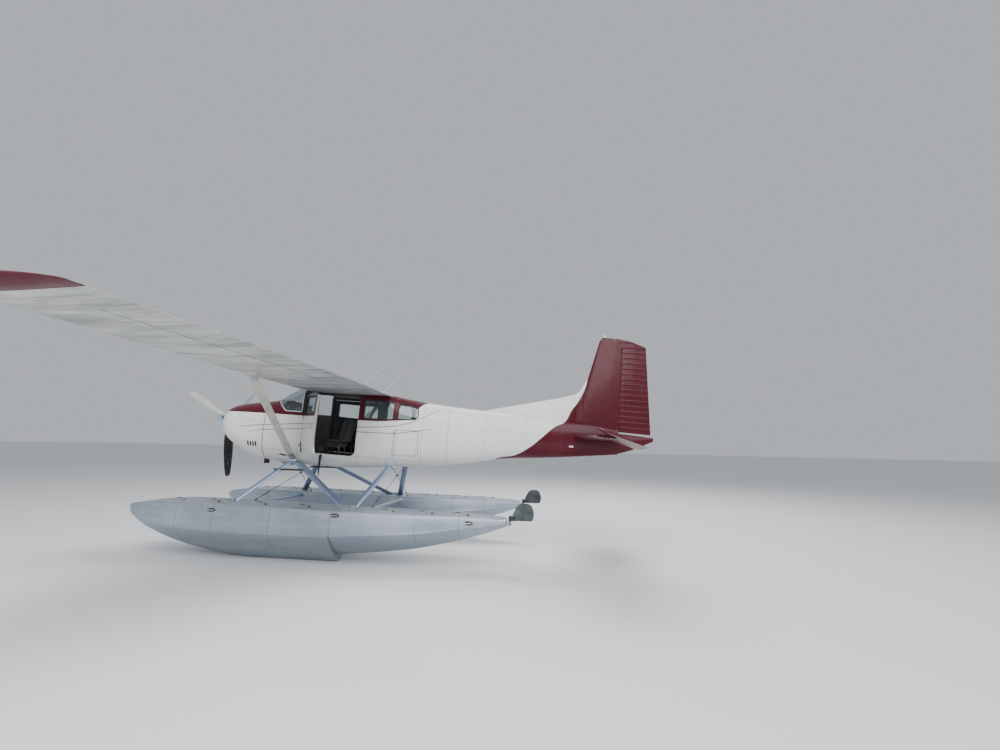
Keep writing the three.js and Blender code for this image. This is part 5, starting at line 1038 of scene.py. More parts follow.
for side, hand in ((-1, "left"), (1, "right")):
    wing = wing_block(ROOT["y"], TIP_JOINT - 0.0004)
    for name, y0, y1, chord0, chord1, nose0, nose1 in SURFACES:
        line = hinge_line(y0, y1, chord0, chord1, GAP)
        carved(wing, nosed_block(*line, nose0 + GAP, nose1 + GAP))
        leaf = carved(wing_block(y0 - 0.05, y1 + 0.05),
                      nosed_block(*hinge_line(y0, y1, chord0, chord1, 0), nose0, nose1), how="INTERSECT")
        fastened(handed(leaf, side), f"{name}_skin_{hand}", f"{hand}_{name}", "white_paint", beaded_white,
                 instead_of=(f"{name}_{hand}",), crease=28)
    fastened(handed(wing, side), f"wing_skin_{hand}", "airframe", "white_paint", wing_white,
             instead_of=(f"wing_{hand}",), crease=28)
    rings = []
    for y in (5.340, 5.355, 5.370, 5.390, 5.405, 5.420, 5.430, 5.438, 5.444, 5.450, 5.454, 5.458, 5.460):
        back, chord, thick, lift = through(TIP, y)
        at = wing_station(TIP_JOINT)
        at.update(y=y, x=at["x"] + back, chord=chord, z=at["z"] + lift + RISE * (y - TIP_JOINT))
        rings.append([on_station(at, *p) for p in section(thick)])
    fastened(handed(loft("tip", rings), side), f"wing_tip_cap_{hand}", "airframe", "maroon_paint", tip_maroon,
             instead_of=(f"wing_tip_{hand}",))
    at = {**wing_station(5.400), "y": 5.400}
    lens_at = on_station(at, 0.02, 0.0)
    spots = [lens_at + Vector((x, y, 0))
             for x, y in ((-0.012, 0), (-0.002, 0.006), (0.030, 0.020), (0.060, 0.022))]
    lens = bar("lens", spots, [0.006, 0.013, 0.016, 0.012], 16)
    lamp_colour = lamp_lens["red" if side < 0 else "green"]
    fastened(handed(lens, side), f"tip_lamp_{hand}", "airframe", "lamp_glass", lamp_colour)

# The wing struts: one faired tube on each side, cream, with a bright cuff at the cabin and
# another under the wing's front spar. A tie-down ring hangs by the upper cuff.
strut_cream = blank("cream_strut_enamel")
cream_place = drawn_place(strut_cream)[0]
lay(strut_cream, mixed(strut_cream, ramped(strut_cream, grain(strut_cream, cream_place, 6, 5.0), 0.4, 0.75),
                       (0.60, 0.58, 0.50), (0.42, 0.41, 0.37)), 0.42,
    times(strut_cream, grain(strut_cream, cream_place, 20), 0.001), coat_weight=0.1)
STRUT_FOOT, STRUT_HEAD = Vector((1.868, 0.505, -0.585)), Vector((2.175, 2.350, 0.640))


def faired(name, path, chord, thick, steps=28, squareness=1.0):
    """A streamlined tube along a path, its round nose forwards; chord and thickness may change on the way."""
    rings = []
    for i, p in enumerate(path):
        heading = (path[min(i + 1, len(path) - 1)] - path[max(i - 1, 0)]).normalized()
        across = heading.cross(Vector((1, 0, 0))).normalized()
        aft = across.cross(heading).normalized()
        long, wide = [v[i] if isinstance(v, (list, tuple)) else v for v in (chord, thick)]
        ring = []
        for a in round_steps(steps):
            lean = 1 - 0.32 * (0.5 + 0.5 * math.cos(a)) ** 1.5 * squareness
            ring.append(p + aft * (long / 2 * math.cos(a)) + across * (wide / 2 * math.sin(a) * lean))
        rings.append(ring)
    return loft(name, rings)


for side, hand in ((-1, "left"), (1, "right")):
    along = lambda t: STRUT_FOOT.lerp(STRUT_HEAD, t)
    strut = faired("strut", [along(0.012), along(0.5), along(0.99)], 0.136, 0.045)
    carved(strut, loft("grown", [[on_station(at, *p) - Vector((0, 0, 0.0005)) for p in section()]
                                 for at in map(wing_station, (2.0, 3.0))]))
    fastened(handed(strut, side), f"strut_tube_{hand}", "airframe", "cream_paint", strut_cream,
             instead_of=(f"wing_strut_{hand}",), crease=50)
    cuffs = [faired("cuff", [along(t) for t in (0.010, 0.030, 0.060, 0.080)], [0.150, 0.146, 0.142, 0.138],
                    [0.066, 0.060, 0.052, 0.047]),
             faired("cuff", [along(t) for t in (0.915, 0.93, 0.95, 0.962)], [0.138, 0.141, 0.144, 0.146],
                    [0.047, 0.050, 0.054, 0.056])]
    fastened(handed(joined(*cuffs), side), f"strut_cuffs_{hand}", "airframe", "strut_metal",
             bare_metal, crease=50)
    ring = [(2.44 + 0.022 * math.cos(a), 2.52, 0.560 + 0.022 * math.sin(a)) for a in round_steps(20)]
    eye = [bar("eye", ring, 0.004, 8, True, 1.0, (0, 1, 0)),
           bar("eye", [(2.44, 2.52, 0.582), (2.44, 2.52, 0.632)], 0.005, 8)]
    fastened(handed(joined(*eye), side), f"tie_down_ring_{hand}", "airframe", "strut_metal", bare_metal)

# The tail: a tapering riveted cone, maroon behind a curved edge, with the white fairing that
# leads up to the fin. Rudder and elevators have beaded skins. A clear lamp stands on the fin's
# top and a small white one ends the cone.
TAIL_Z, ELEVATOR_HINGE_X, RUDDER_HINGE_X = 0.160, 7.085, 7.250
# A slim section's half thickness, as a share of the most, at shares of its chord.
SLIM = [(0, 0), (0.006, 0.17), (0.02, 0.32), (0.05, 0.54), (0.1, 0.75), (0.18, 0.92), (0.28, 1.0),
        (0.39, 0.96), (0.5, 0.86), (0.62, 0.70), (0.75, 0.48), (0.88, 0.25), (1, 0.05)]
# The tailplane at four places out: distance, nose, trailing edge and thickness.
PLANE = ((0.0, 6.480, 7.560, 0.078), (1.455, 6.765, 7.475, 0.050), (1.610, 6.800, 7.462, 0.034),
         (1.650, 6.835, 7.430, 0.014))


def slim(nose, tail, thick):
    """A slim symmetric section's outline from nose to trailing edge and back."""
    upper = [(nose + (tail - nose) * share, part * thick / 2) for share, part in SLIM]
    return upper + [(x, -y) for x, y in reversed(upper[1:])]


def plane_block(side, more=0.0):
    """One side of the tailplane, before it is cut into its fixed and turning parts."""
    rings = [[Vector((x, y, TAIL_Z + z)) for x, z in slim(nose - more, tail, thick + 2 * more)]
             for y, nose, tail, thick in PLANE]
    return handed(loft("plane", rings), side)


cone = body_block(4.450, 7.225, 0, 0.09)
STINGER = np.array([(7.150, 0.262, -0.092, 0.062), (7.400, 0.254, -0.012, 0.046),
                    (7.600, 0.244, 0.082, 0.032), (7.785, 0.232, 0.172, 0.018)])
rings = []
for x in np.linspace(7.15, 7.785, 14):
    top, bottom, half = through(STINGER, x)
    rings.append([Vector((x, half * math.cos(a), (top + bottom) / 2 + (top - bottom) / 2 * math.sin(a)))
                  for a in round_steps(48)])
carved(cone, loft("stinger", rings), how="UNION")


def upright_block(radius, wide=0.45, low=0.0, high=2.7):
    """Everything behind the rudder's hinge, with a round nose about it."""
    nose = [(RUDDER_HINGE_X + radius * math.cos(t), radius * math.sin(t)) for t in NOSE_STEPS]
    return pushed([(8.15, wide), (RUDDER_HINGE_X, wide), *nose, (RUDDER_HINGE_X, -wide), (8.15, -wide)],
                  low, high, "z")


rudder_room = upright_block(0.047, 0.20, 0.264, 0.60)
bore = bar("bore", [(ELEVATOR_HINGE_X, -0.2, TAIL_Z), (ELEVATOR_HINGE_X, 0.2, TAIL_Z)], 0.0206, 24,
           out=(0, 0, 1))
plane_slots = [carved(plane_block(side, 0.0005), pushed(four(7.0304, -0.9, 8.2, 1.4), -1.8, 1.8))
               for side in (-1, 1)]
carved(cone, body_block(4.43, 6.40, 0.030, 0.12), *plane_slots, rudder_room, bore)
tail_paint = livery("tail_paint", joints_x=(4.455, 5.06, 5.72, 6.30), ribs=0.44, stringers=0.23)
beaded_tail = livery("beaded_tail_paint", ribs=0.9, stringers=0.9, beads="z")
beaded_plane = livery("beaded_plane_paint", ribs=0.9, stringers=0.9, beads="y")
fastened(cone, "tail_cone_skin", "airframe", "maroon_paint", tail_paint, instead_of=("tail_cone",))

# The fin and rudder at four heights: height, nose, trailing edge and thickness.
FIN = ((0.250, 6.478, 7.744, 0.120), (0.870, 6.620, 7.690, 0.104), (1.800, 6.850, 7.610, 0.066),
       (1.862, 6.893, 7.590, 0.030))


def fin_block():
    """The fin and rudder before they are cut apart."""
    return loft("fin", [[Vector((x, y, z)) for x, y in slim(nose, tail, thick)]
                        for z, nose, tail, thick in FIN])


def horn_block(gap):
    """The balance horn's share of the fin's top."""
    front, low = 7.093 - gap, 1.655
    return pushed([(front, 1.862), (7.250 - gap, low), (8.15, low), (8.15, 2.762), (front, 2.762)], -0.9, 0.9)


fin = carved(fin_block(), upright_block(0.047), horn_block(0.018), body_block(5.6, 7.2246, -0.0004, 0.09),
             pushed(four(7.2, 0, 9.0, 0.38), -0.9, 0.9))
fastened(fin, "fin_skin", "airframe", "maroon_paint", tail_paint, instead_of=("fin",), crease=28)
region = carved(upright_block(0.040), horn_block(0.0), how="UNION")
carved(region, pushed([(7.100, 1.864), (7.360, 1.822), (7.740, 1.686), (7.740, 2.9),
                       (7.100, 2.9)], -0.95, 0.95))
above_foot = pushed([(6.9, 0.300), (8.0, 0.262), (8.0, 3.0), (6.9, 3.0)], -0.9, 0.9)
rudder = carved(fin_block(), region, above_foot, how="INTERSECT")
fastened(rudder, "rudder_skin", "air_rudder", "maroon_paint", beaded_tail, instead_of=("rudder",), crease=28)
pin = bar("pin", [(RUDDER_HINGE_X, 0, 0.2592), (RUDDER_HINGE_X, 0, 0.33)], 0.008, 12, out=(1, 0, 0))
fastened(pin, "rudder_pin", "air_rudder", "strut_metal", bare_metal)

DORSAL = np.array([(4.990, 0.488, 0.014), (5.300, 0.561, 0.030), (5.920, 0.709, 0.048),
                   (6.320, 0.809, 0.054), (6.480, 0.861, 0.054), (6.577, 0.940, 0.052),
                   (6.680, 1.125, 0.046), (6.740, 1.150, 0.046)])


def faded(y, x, z):
    """The fairing's half width, drawn in until it lies on the fin's own skin."""
    nose, tail, thick = (float(np.interp(z, [row[0] for row in FIN], [row[k] for row in FIN]))
                         for k in (1, 2, 3))
    behind = x - nose
    skin = 0.5 * thick * float(np.interp(behind / (tail - nose), *zip(*SLIM))) + 0.0012
    share = min(max((behind + 0.10) / 0.16, 0), 1)
    return y + (min(skin, y) - y) * share * share * (3 - 2 * share)


rings = []
for x in np.concatenate([np.linspace(4.99, 6.30, 22), np.linspace(6.32, 6.74, 36)]):
    top, half = through(DORSAL, x)
    shoulder = (0.440 + top) / 2
    right = [(half, 0.25), (half * 0.97, (0.25 + shoulder) / 2)]
    right += [(half * (0.7 - 0.28 * t), shoulder + (top - shoulder) * t / 2) for t in (0, 0.5, 1)]
    right += [(half * 0.42 + (0.012 - half * 0.42) * t, (shoulder + top) / 2 * (1 - t) + (top - 0.014) * t)
              for t in (0.5, 1)]
    right = [(faded(y, x, z), z) for y, z in [*right, (0.006, top - 0.004)]]
    rings.append([Vector((x, *p)) for p in [*right, (0, top), *[(-y, z) for y, z in reversed(right)]]])
dorsal = carved(loft("dorsal", rings), body_block(4.6, 7.2, -0.0004, 0.09))
fastened(dorsal, "dorsal_skin", "airframe", "white_paint", tail_paint,
         instead_of=("dorsal_fairing",), crease=50)

HORN_Y = 1.462


def plane_slot(radius, side):
    """Everything behind the elevator's hinge on one side, with a round nose about it."""
    inner, outer = (Vector((ELEVATOR_HINGE_X, y, TAIL_Z)) for y in (0.0, 2.0))
    return handed(nosed_block(inner, outer, radius, radius), side)


halves, leaves = [], []
for side in (-1, 1):
    horn = lambda inner: handed(pushed(four(6.0, inner, 8.0, 2.0), 0, 0.4, "z"), side)
    behind = handed(pushed([(7.03, 0.13), (7.03, -0.1), (7.93, -0.1), (7.93, 0.13)], 0, 0.9, "z"), side)
    halves.append(carved(plane_block(side), plane_slot(0.039, side), horn(HORN_Y - GAP), behind))
    clear_of_cone = [(6.9, 0.112), (7.092, 0.112), (7.8, 0.372), (7.8, 2.0), (6.5, 2.0), (6.5, 0.112)]
    inner = handed(pushed(clear_of_cone, 0, 0.4, "z"), side)
    block = carved(plane_slot(0.032, side), horn(HORN_Y), how="UNION")
    leaves.append(carved(plane_block(side), block, inner, how="INTERSECT"))
fastened(joined(*halves), "stabilizer_skin", "airframe", "maroon_paint", tail_paint,
         instead_of=("stabilizer",), crease=28)
tube = bar("tube", [(ELEVATOR_HINGE_X, -0.14, TAIL_Z), (ELEVATOR_HINGE_X, 0.14, TAIL_Z)], 0.020, 24,
           out=(0, 0, 1))
droop = AIRFRAME @ turned(math.radians(18), Vector((ELEVATOR_HINGE_X, 0, TAIL_Z)), "Y")
fastened(joined(*leaves, tube), "elevator_skins", "elevators", "maroon_paint", beaded_plane, axes=droop,
         instead_of=("elevator",), crease=28)

dome = [(6.935, 0, z) for z in (1.8634, 1.874, 1.876, 1.895, 1.910, 1.919, 1.924)]
beacon = bar("beacon", dome, [0.030, 0.030, 0.024, 0.0235, 0.020, 0.012, 0.004], 28, out=(1, 0, 0))
fastened(beacon, "beacon_lamp", "airframe", "lamp_glass", lamp_lens["white"], instead_of=("beacon",))
end_lamp = bar("lamp", [(x, 0, 0.202) for x in (7.7854, 7.790, 7.797, 7.799)],
               [0.017, 0.016, 0.011, 0.004], 24)
fastened(end_lamp, "tail_lamp", "airframe", "lamp_glass", lamp_lens["white"], instead_of=("tail_light",))

# The float fittings: bright machined blocks let into the cabin's sides under the front door
# posts and behind the rear seat, with drilled lugs below for the brace wires.
FITTINGS = {"front": (1.868, 0.478, -0.590, 0.120, 0.070), "rear": (3.560, 0.415, -0.515, 0.090, 0.060)}
bright_metal = mottled("bright_machined_metal", 25, 5.0, (0.60, 0.62, 0.66), (0.82, 0.84, 0.86),
                       (60, 0.18, 0.40), metallic=0.92)
for where, (x, y, z, long, deep) in FITTINGS.items():
    for side, hand in ((-1, "left"), (1, "right")):
        a, b, low = long / 2, deep / 2, z - deep / 2
        block = pushed(rounded(four(x - a, z - b, x + a, z + b, 0.010)), y - 0.150, y + 0.012)
        tongue = pushed(rounded([(x - 0.020, low + 0.004, 0.001), (x - 0.020, low - 0.035, 0.018),
                                 (x + 0.020, low - 0.035, 0.018), (x + 0.020, low + 0.004, 0.001)]),
                        y - 0.103, y - 0.073)
        heads = [bar("bolt", [(x + s * (a - 0.022), y + out, z) for out in (0.008, 0.0205)], 0.011, 6,
                     out=(0, 0, 1))
                 for s in (-1, 1)]
        eye = bar("eye", [(x, y - 0.107, low - 0.018), (x, y - 0.069, low - 0.018)], 0.008, 12, out=(0, 0, 1))
        fastened(handed(joined(block, tongue, eye, *heads), side),
                 f"{where}_float_fitting_{hand}", "airframe", "strut_metal", bright_metal)

# The floats: riveted sheet over bulkheads, in a grey whose blue tint is painted sky reflection and
# shade, with a sharp chine, a step amidships and a vee bottom. Bright strips along the gunwales are
# painted highlights of the sheer line; hatch covers, pump plugs and a rubber bumper at the bow are
# fixed on, and mooring cleats sit on dark oval discs along the sides, painted shade for their cups.
FLOAT_Y, STEP_X, POST_X = 1.130, 3.050, 5.580
FLOAT_FRONT = np.array([  # x, deck, chine, keel, half deck, half chine
    (-0.440, 0.690, 0.655, 0.615, 0.042, 0.045), (-0.330, 0.715, 0.600, 0.505, 0.130, 0.142),
    (-0.060, 0.765, 0.520, 0.345, 0.235, 0.262), (0.450, 0.796, 0.450, 0.175, 0.310, 0.348),
    (1.100, 0.788, 0.412, 0.050, 0.345, 0.386), (1.700, 0.775, 0.400, 0.000, 0.360, 0.402),
    (3.050, 0.746, 0.400, 0.000, 0.352, 0.398)])
FLOAT_REAR = np.array([(3.050, 0.746, 0.412, 0.095, 0.352, 0.384),
                       (4.100, 0.738, 0.470, 0.215, 0.290, 0.326),
                       (5.000, 0.728, 0.575, 0.415, 0.185, 0.205),
                       (5.530, 0.698, 0.642, 0.590, 0.085, 0.092)])
DECK_CROWN = 0.009


def float_table(x):
    """The half of the float that a station lies in."""
    return FLOAT_FRONT if x < STEP_X else FLOAT_REAR


def deck_at(x):
    """The height of the deck's middle line."""
    return float(through(float_table(x), x)[0]) + DECK_CROWN


def float_ring(x, table, less=0.0):
    """The outline of a float at a station: crowned deck, gunwale, side, chine and vee bottom."""
    deck, chine, keel, top, wide = through(table, x)
    top, wide, tall = top - less, wide - less, deck - 0.010 - chine
    lip = min(0.010, 0.15 * tall)
    right = [(top * share, deck + DECK_CROWN * (1 - share ** 2) - less)
             for share in (0, 0.25, 0.5, 0.75, 0.9)]
    right += [(top - 0.004, deck + 0.0005 - less), (top, deck - 0.010)]
    right += [(top + (wide - top) * t + 0.006 * math.sin(math.pi * t), chine + tall * (1 - t))
              for t in (0.2, 0.4, 0.6, 0.8)]
    right += [(wide - 0.2 * lip, chine + lip), (wide, chine + 0.4 * lip), (wide, chine - 0.1 * lip)]
    right += [(wide + (0.018 - wide) * t, chine + (keel - chine) * (t + 0.48 * t * (1 - t))) for t in
              (0.06, 0.18, 0.32, 0.5, 0.68, 0.84, 0.94)]
    right.append((0.018, keel))
    left = [(-y, z) for y, z in reversed(right[1:])]
    return [Vector((x, FLOAT_Y + y, z)) for y, z in right + left]


float_skin = blank("float_sheet_sky_tint")
place, x, y, z = drawn_place(float_skin)
patches = grain(float_skin, place, 1.3, 5.0, 0.6)
scratched = grain(float_skin, place, 1.0, 6.0, 0.65, stretch=(1.2, 8.0, 14.0))
rivets = either(float_skin, rivet_rows(float_skin, x, z, 0.305, 0.030, 0.0045),
              either(float_skin, rivet_rows(float_skin, x, y, 0.305, 0.030, 0.0045),
                   rivet_rows(float_skin, z, x, 0.145, 0.030, 0.0045)))
seams = 0.0
for at in (0.62, 1.23, 2.14, 3.06, 4.27, 4.88):
    seams = either(float_skin, seams, joint_line(float_skin, x, at, 0.0028))
# The sheet's blue grey is painted sky reflection and shade; the paler streaks are scratches.
sheet = mixed(float_skin, ramped(float_skin, patches, 0.35, 0.70), (0.30, 0.36, 0.44), (0.42, 0.47, 0.53))
sheet = mixed(float_skin, ramped(float_skin, scratched, 0.52, 0.74, 0.0, 0.5), sheet, (0.60, 0.63, 0.66))
# Darker and patchy towards the bottom of the floats.
darker_low = times(float_skin, ramped(float_skin, z, 0.50, 0.30),
                ramped(float_skin, scratched, 0.35, 0.6, 0.5, 1.0))
sheet = mixed(float_skin, times(float_skin, darker_low, 0.55), sheet, (0.16, 0.19, 0.20))
sheet = mixed(float_skin, times(float_skin, seams, 0.8), sheet, (0.05, 0.06, 0.08))
sheet = mixed(float_skin, times(float_skin, rivets, 0.25), sheet, (0.60, 0.62, 0.64))
sheet_dents = times(float_skin, grain(float_skin, place, 3.6, 3.0, 0.5), 0.012)
lay(float_skin, sheet, ramped(float_skin, patches, 0.3, 0.75, 0.34, 0.52),
    calc(float_skin, "ADD", sheet_dents, times(float_skin, rivets, 0.0009)), metallic=0.55)
bumper_rubber = mottled("bumper_rubber", 25, 5.0, (0.020, 0.021, 0.022), (0.055, 0.055, 0.055), 0.7)


def float_edge(x, share=1.0, up=0.0):
    """A point along a float's gunwale, at a share of its half width."""
    deck, _, _, top, _ = through(float_table(x), x)
    return Vector((x, FLOAT_Y + top * share, deck + up))


for side, hand in ((-1, "left"), (1, "right")):
    bow = [float_ring(-0.433, FLOAT_FRONT, 0.012), float_ring(-0.430, FLOAT_FRONT, 0.004)]
    hull = loft("float", bow + [float_ring(x, FLOAT_FRONT) for x in
                                [-0.424, -0.41, -0.385, -0.36, -0.33, -0.29, -0.24, -0.18, -0.12, -0.06,
                                 *np.linspace(0.02, STEP_X, 40)]])
    before_step = [Vector((3.0, p.y, p.z)) for p in float_ring(STEP_X, FLOAT_REAR, 0.003)]
    stern = loft("stern", [before_step] + [float_ring(x, FLOAT_REAR) for x in np.linspace(STEP_X, 5.530, 36)])
    post_hole = bar("hole", [(POST_X, FLOAT_Y, z) for z in (0.5, 0.9)], 0.0178, 32, out=(1, 0, 0))
    lug = rounded(four(5.505, FLOAT_Y - 0.028, 5.604, FLOAT_Y + 0.028, 0.002, 0.024))
    lugs = [pushed(lug, low, low + 0.020, "z") for low in (0.604, 0.640)]
    carved(hull, stern, *lugs, how="UNION")
    carved(hull, post_hole)
    fastened(handed(hull, side), f"float_hull_{hand}", "airframe", "float_skin", float_skin, axes=LEVEL,
             instead_of=(f"float_{hand}",), crease=32)

    # Painted highlight: bright strips along each gunwale stand for the light caught along the sheer line.
    edges = [[float_edge(x, s * 0.985, 0.0015) for x in np.linspace(-0.40, 5.50, 70)] for s in (-1, 1)]
    strips = [bar("strip", edge, 0.016, 6, False, 0.30, (0, 0, 1)) for edge in edges]
    fastened(handed(joined(*strips), side), f"gunwale_highlight_strips_{hand}", "airframe", "strut_metal",
             bright_metal, axes=LEVEL)

    hatches, knobs = [], []
    for x in (0.36, 0.95, 1.72, 2.42, 3.72, 4.30, 4.82):
        top = deck_at(x)
        cover = [(x, FLOAT_Y, top + up) for up in (-0.012, 0.004, 0.007)]
        hatches.append(bar("hatch", cover, [0.080, 0.080, 0.074], 32, out=(1, 0, 0)))
        plug = [(x + 0.17, FLOAT_Y + 0.10, top + up) for up in (-0.015, 0.007)]
        knobs.append(bar("plug", plug, 0.021, 16, out=(1, 0, 0)))
        grip = [(x + dx, FLOAT_Y, top + up)
                for dx, up in ((-0.04, 0.006), (-0.03, 0.018), (0.03, 0.018), (0.04, 0.006))]
        knobs.append(bar("handle", grip, 0.005, 8))
    fastened(handed(joined(*hatches), side), f"float_hatches_{hand}", "airframe", "float_skin",
             bare_metal, axes=LEVEL)
    fastened(handed(joined(*knobs), side), f"float_plugs_{hand}", "airframe", "dark_trim",
             bumper_rubber, axes=LEVEL)

    # The cups are dark oval discs on the side: painted shade for the recess each cleat sits in.
    cup_shade_discs, cleats = [], []
    for x, z in ((1.210, 0.708), (3.120, 0.698), (5.011, 0.642)):
        deck, chine, _, top, wide = through(float_table(x), x)
        y = FLOAT_Y + top + (wide - top) * (deck - 0.010 - z) / (deck - 0.010 - chine) + 0.007
        cup_shade_discs.append(bar("cup", [(x, y - 0.010, z), (x, y + 0.003, z)], 0.074, 32, thin=0.42, out=(0, 0, 1)))
        rim = [(x + 0.078 * math.cos(a), y + 0.001, z + 0.034 * math.sin(a)) for a in round_steps(36)]
        cleats.append(bar("rim", rim, 0.006, 8, True, 0.6))
        horn = [(x + dx, y + out, z)
                for dx, out in ((-0.055, 0.018), (-0.03, 0.014), (0.03, 0.014), (0.055, 0.018))]
        cleats.append(bar("horn", horn, [0.005, 0.008, 0.008, 0.005], 10))
        cleats.append(bar("stem", [(x, y - 0.004, z), (x, y + 0.014, z)], 0.008, 10, out=(0, 0, 1)))
    fastened(handed(joined(*cup_shade_discs), side), f"cleat_cup_shade_discs_{hand}", "airframe", "dark_trim",
             bumper_rubber, axes=LEVEL)
    fastened(handed(joined(*cleats), side), f"mooring_cleats_{hand}", "airframe", "strut_metal",
             bare_metal, axes=LEVEL)

    round_bow = [(-0.430 + 0.078 * abs(t) ** 2.2, FLOAT_Y + 0.108 * t, 0.668 + 0.012 * abs(t))
                 for t in np.linspace(-1, 1, 17)]
    bumper = bar("bumper", round_bow, [0.006] + [0.009] * 15 + [0.006], 12, out=(0, 0, 1))
    fastened(handed(bumper, side), f"bow_bumper_{hand}", "airframe", "dark_trim", bumper_rubber, axes=LEVEL)

# The float legs: faired aluminium tubes in sockets under the fittings, bolted to the decks
# through flanged pads. Two spreader bars hold the floats apart.
# The tubes' blue is painted sky reflection on the aluminium.
leg_metal = blank("blue_grey_tube")
leg_place = drawn_place(leg_metal)[0]
leg_clouds = grain(leg_metal, leg_place, 3.0, 4.0)
lay(leg_metal, mixed(leg_metal, ramped(leg_metal, leg_clouds, 0.35, 0.7), (0.26, 0.34, 0.50),
                     (0.36, 0.44, 0.58)),
    ramped(leg_metal, grain(leg_metal, leg_place, 18, 4.0), 0.3, 0.7, 0.26, 0.44), metallic=0.65)


def rigged(x, y, z):
    """A place on the airframe, as the level floats see it."""
    return LEVEL.inverted() @ AIRFRAME @ Vector((x, y, z))


def deck_block(x0, x1, count):
    """A length of float, a hair's breadth larger, to cut what stands on it."""
    return loft("deck", [float_ring(x, float_table(x), -0.0006) for x in np.linspace(x0, x1, count)])


LEGS = (("front_legs", "front", (1.210, 3.080)), ("rear_leg", "rear", (3.190,)))
LEG_Y = 1.060
for side, hand in ((-1, "left"), (1, "right")):
    for name, where, feet in LEGS:
        x, y, z, long, deep = FITTINGS[where]
        under = z - deep / 2
        head = rigged(x, y + 0.012 - 0.066, under + 0.030)
        down = (Vector((head.x + 0.022, LEG_Y, deck_at(head.x))) - head).normalized()
        reach = [head + down * (0.114 * t) for t in (1.0, 0.92, 0.6, 0.0)]
        pieces = [faired("socket", reach, [0.180, 0.200, 0.200, 0.196], [0.046, 0.055, 0.056, 0.056])]
        pads, bolts = [], []
        for foot_x in feet:
            deck = deck_at(foot_x)
            foot = Vector((foot_x, LEG_Y, deck - 0.028))
            pieces.append(faired("leg", [foot, foot.lerp(head, 0.5), head.lerp(foot, 0.02)], 0.098, 0.040))
            for wide, up, corner in ((0.045, 0.012, 0.015), (0.027, 0.030, 0.020)):
                outline = four(foot_x - 0.052, LEG_Y - wide, foot_x + 0.052, LEG_Y + wide, corner)
                pads.append(pushed(rounded(outline), deck - 0.026, deck + up, "z"))
            bolts += [bar("bolt", [(foot_x + a, LEG_Y + b, deck + up) for up in (0.010, 0.021)], 0.007, 6,
                          out=(1, 0, 0))
                      for a in (-0.036, 0.036) for b in (-0.036, 0.036)]
        whole = carved(pieces[0], *pieces[1:], how="UNION")
        lid = pushed(four(x - 0.5, under - 0.0006, x + 0.5, under + 0.4), -1.6, 1.6)
        lid.data.transform(LEVEL.inverted() @ AIRFRAME)
        carved(whole, lid, deck_block(0.9, 3.5, 30))
        fastened(handed(whole, side), f"{name}_tube_{hand}", "airframe", "strut_metal", leg_metal, axes=LEVEL,
                 instead_of=(f"{name}_{hand}",), crease=50)
        fastened(handed(joined(*pads, *bolts), side), f"{name}_feet_{hand}", "airframe",
                 "strut_metal", bare_metal, axes=LEVEL)

for where, x, z, finish in (("front", 1.315, 0.712, leg_metal), ("rear", 3.300, 0.690, bright_metal)):
    tube = faired("spreader", [Vector((x, y, z)) for y in (-0.795, 0.0, 0.795)], 0.084, 0.046)
    collars = [faired("collar", [Vector((x, s * y, z)) for y in (0.735, 0.760, 0.772, 0.800)],
                      [0.088, 0.096, 0.110, 0.112], [0.050, 0.058, 0.072, 0.074]) for s in (-1, 1)]
    carved(tube, *collars, how="UNION")
    for s in (-1, 1):
        carved(tube, handed(deck_block(x - 0.2, x + 0.2, 5), s))
    fastened(tube, f"{where}_spreader_tube", "airframe", "strut_metal", finish, axes=LEVEL,
             instead_of=(f"{where}_spreader",), crease=50)

# The brace wires: steel wires with forked ends, crossed from the lugs under the cabin to the decks,
# each with a turnbuckle near its foot and a clamp where two of them cross.
wire_steel = mottled("drawn_wire_steel", 90, 3.0, (0.10, 0.11, 0.12), (0.24, 0.25, 0.27), 0.35, metallic=0.9)
for where, foot_x in (("front", 1.460), ("rear", 3.420)):
    x, y, z, long, deep = FITTINGS[where]
    head = rigged(x, y - 0.088, z - deep / 2 - 0.035 - 0.0006)
    foot = Vector((foot_x, 0.870, deck_at(foot_x) - 0.004))
    pieces, share = [], head.y / (head.y + foot.y)
    for s in (-1, 1):
        a, b = Vector((head.x, s * head.y, head.z)), Vector((foot.x, -s * foot.y, foot.z))
        at = lambda t: a.lerp(b, t)
        pieces += [bar("wire", [at(0), at(0.5), at(1)], 0.0048, 10, out=(1, 0, 0)),
                   bar("barrel", [at(t) for t in (0.80, 0.815, 0.885, 0.90)],
                       [0.006, 0.011, 0.011, 0.006], 14, out=(1, 0, 0)),
                   bar("fork", [at(t) for t in (0.005, 0.02, 0.05)], [0.012, 0.012, 0.007], 12,
                       out=(1, 0, 0)),
                   bar("fork", [at(t) for t in (0.955, 0.975, 0.995)], [0.007, 0.012, 0.012], 12,
                       out=(1, 0, 0))]
    middle = Vector((head.x + (foot.x - head.x) * share, 0, head.z + (foot.z - head.z) * share))
    pieces.append(bar("clamp", [middle + Vector((t, 0, 0)) for t in (-0.022, -0.018, 0.018, 0.022)],
                      [0.012, 0.016, 0.016, 0.012], 20, out=(0, 0, 1)))
    fastened(joined(*pieces), f"{where}_wires", "airframe", "strut_metal", wire_steel, axes=LEVEL,
             instead_of=(f"{where}_brace_wires",), crease=50)

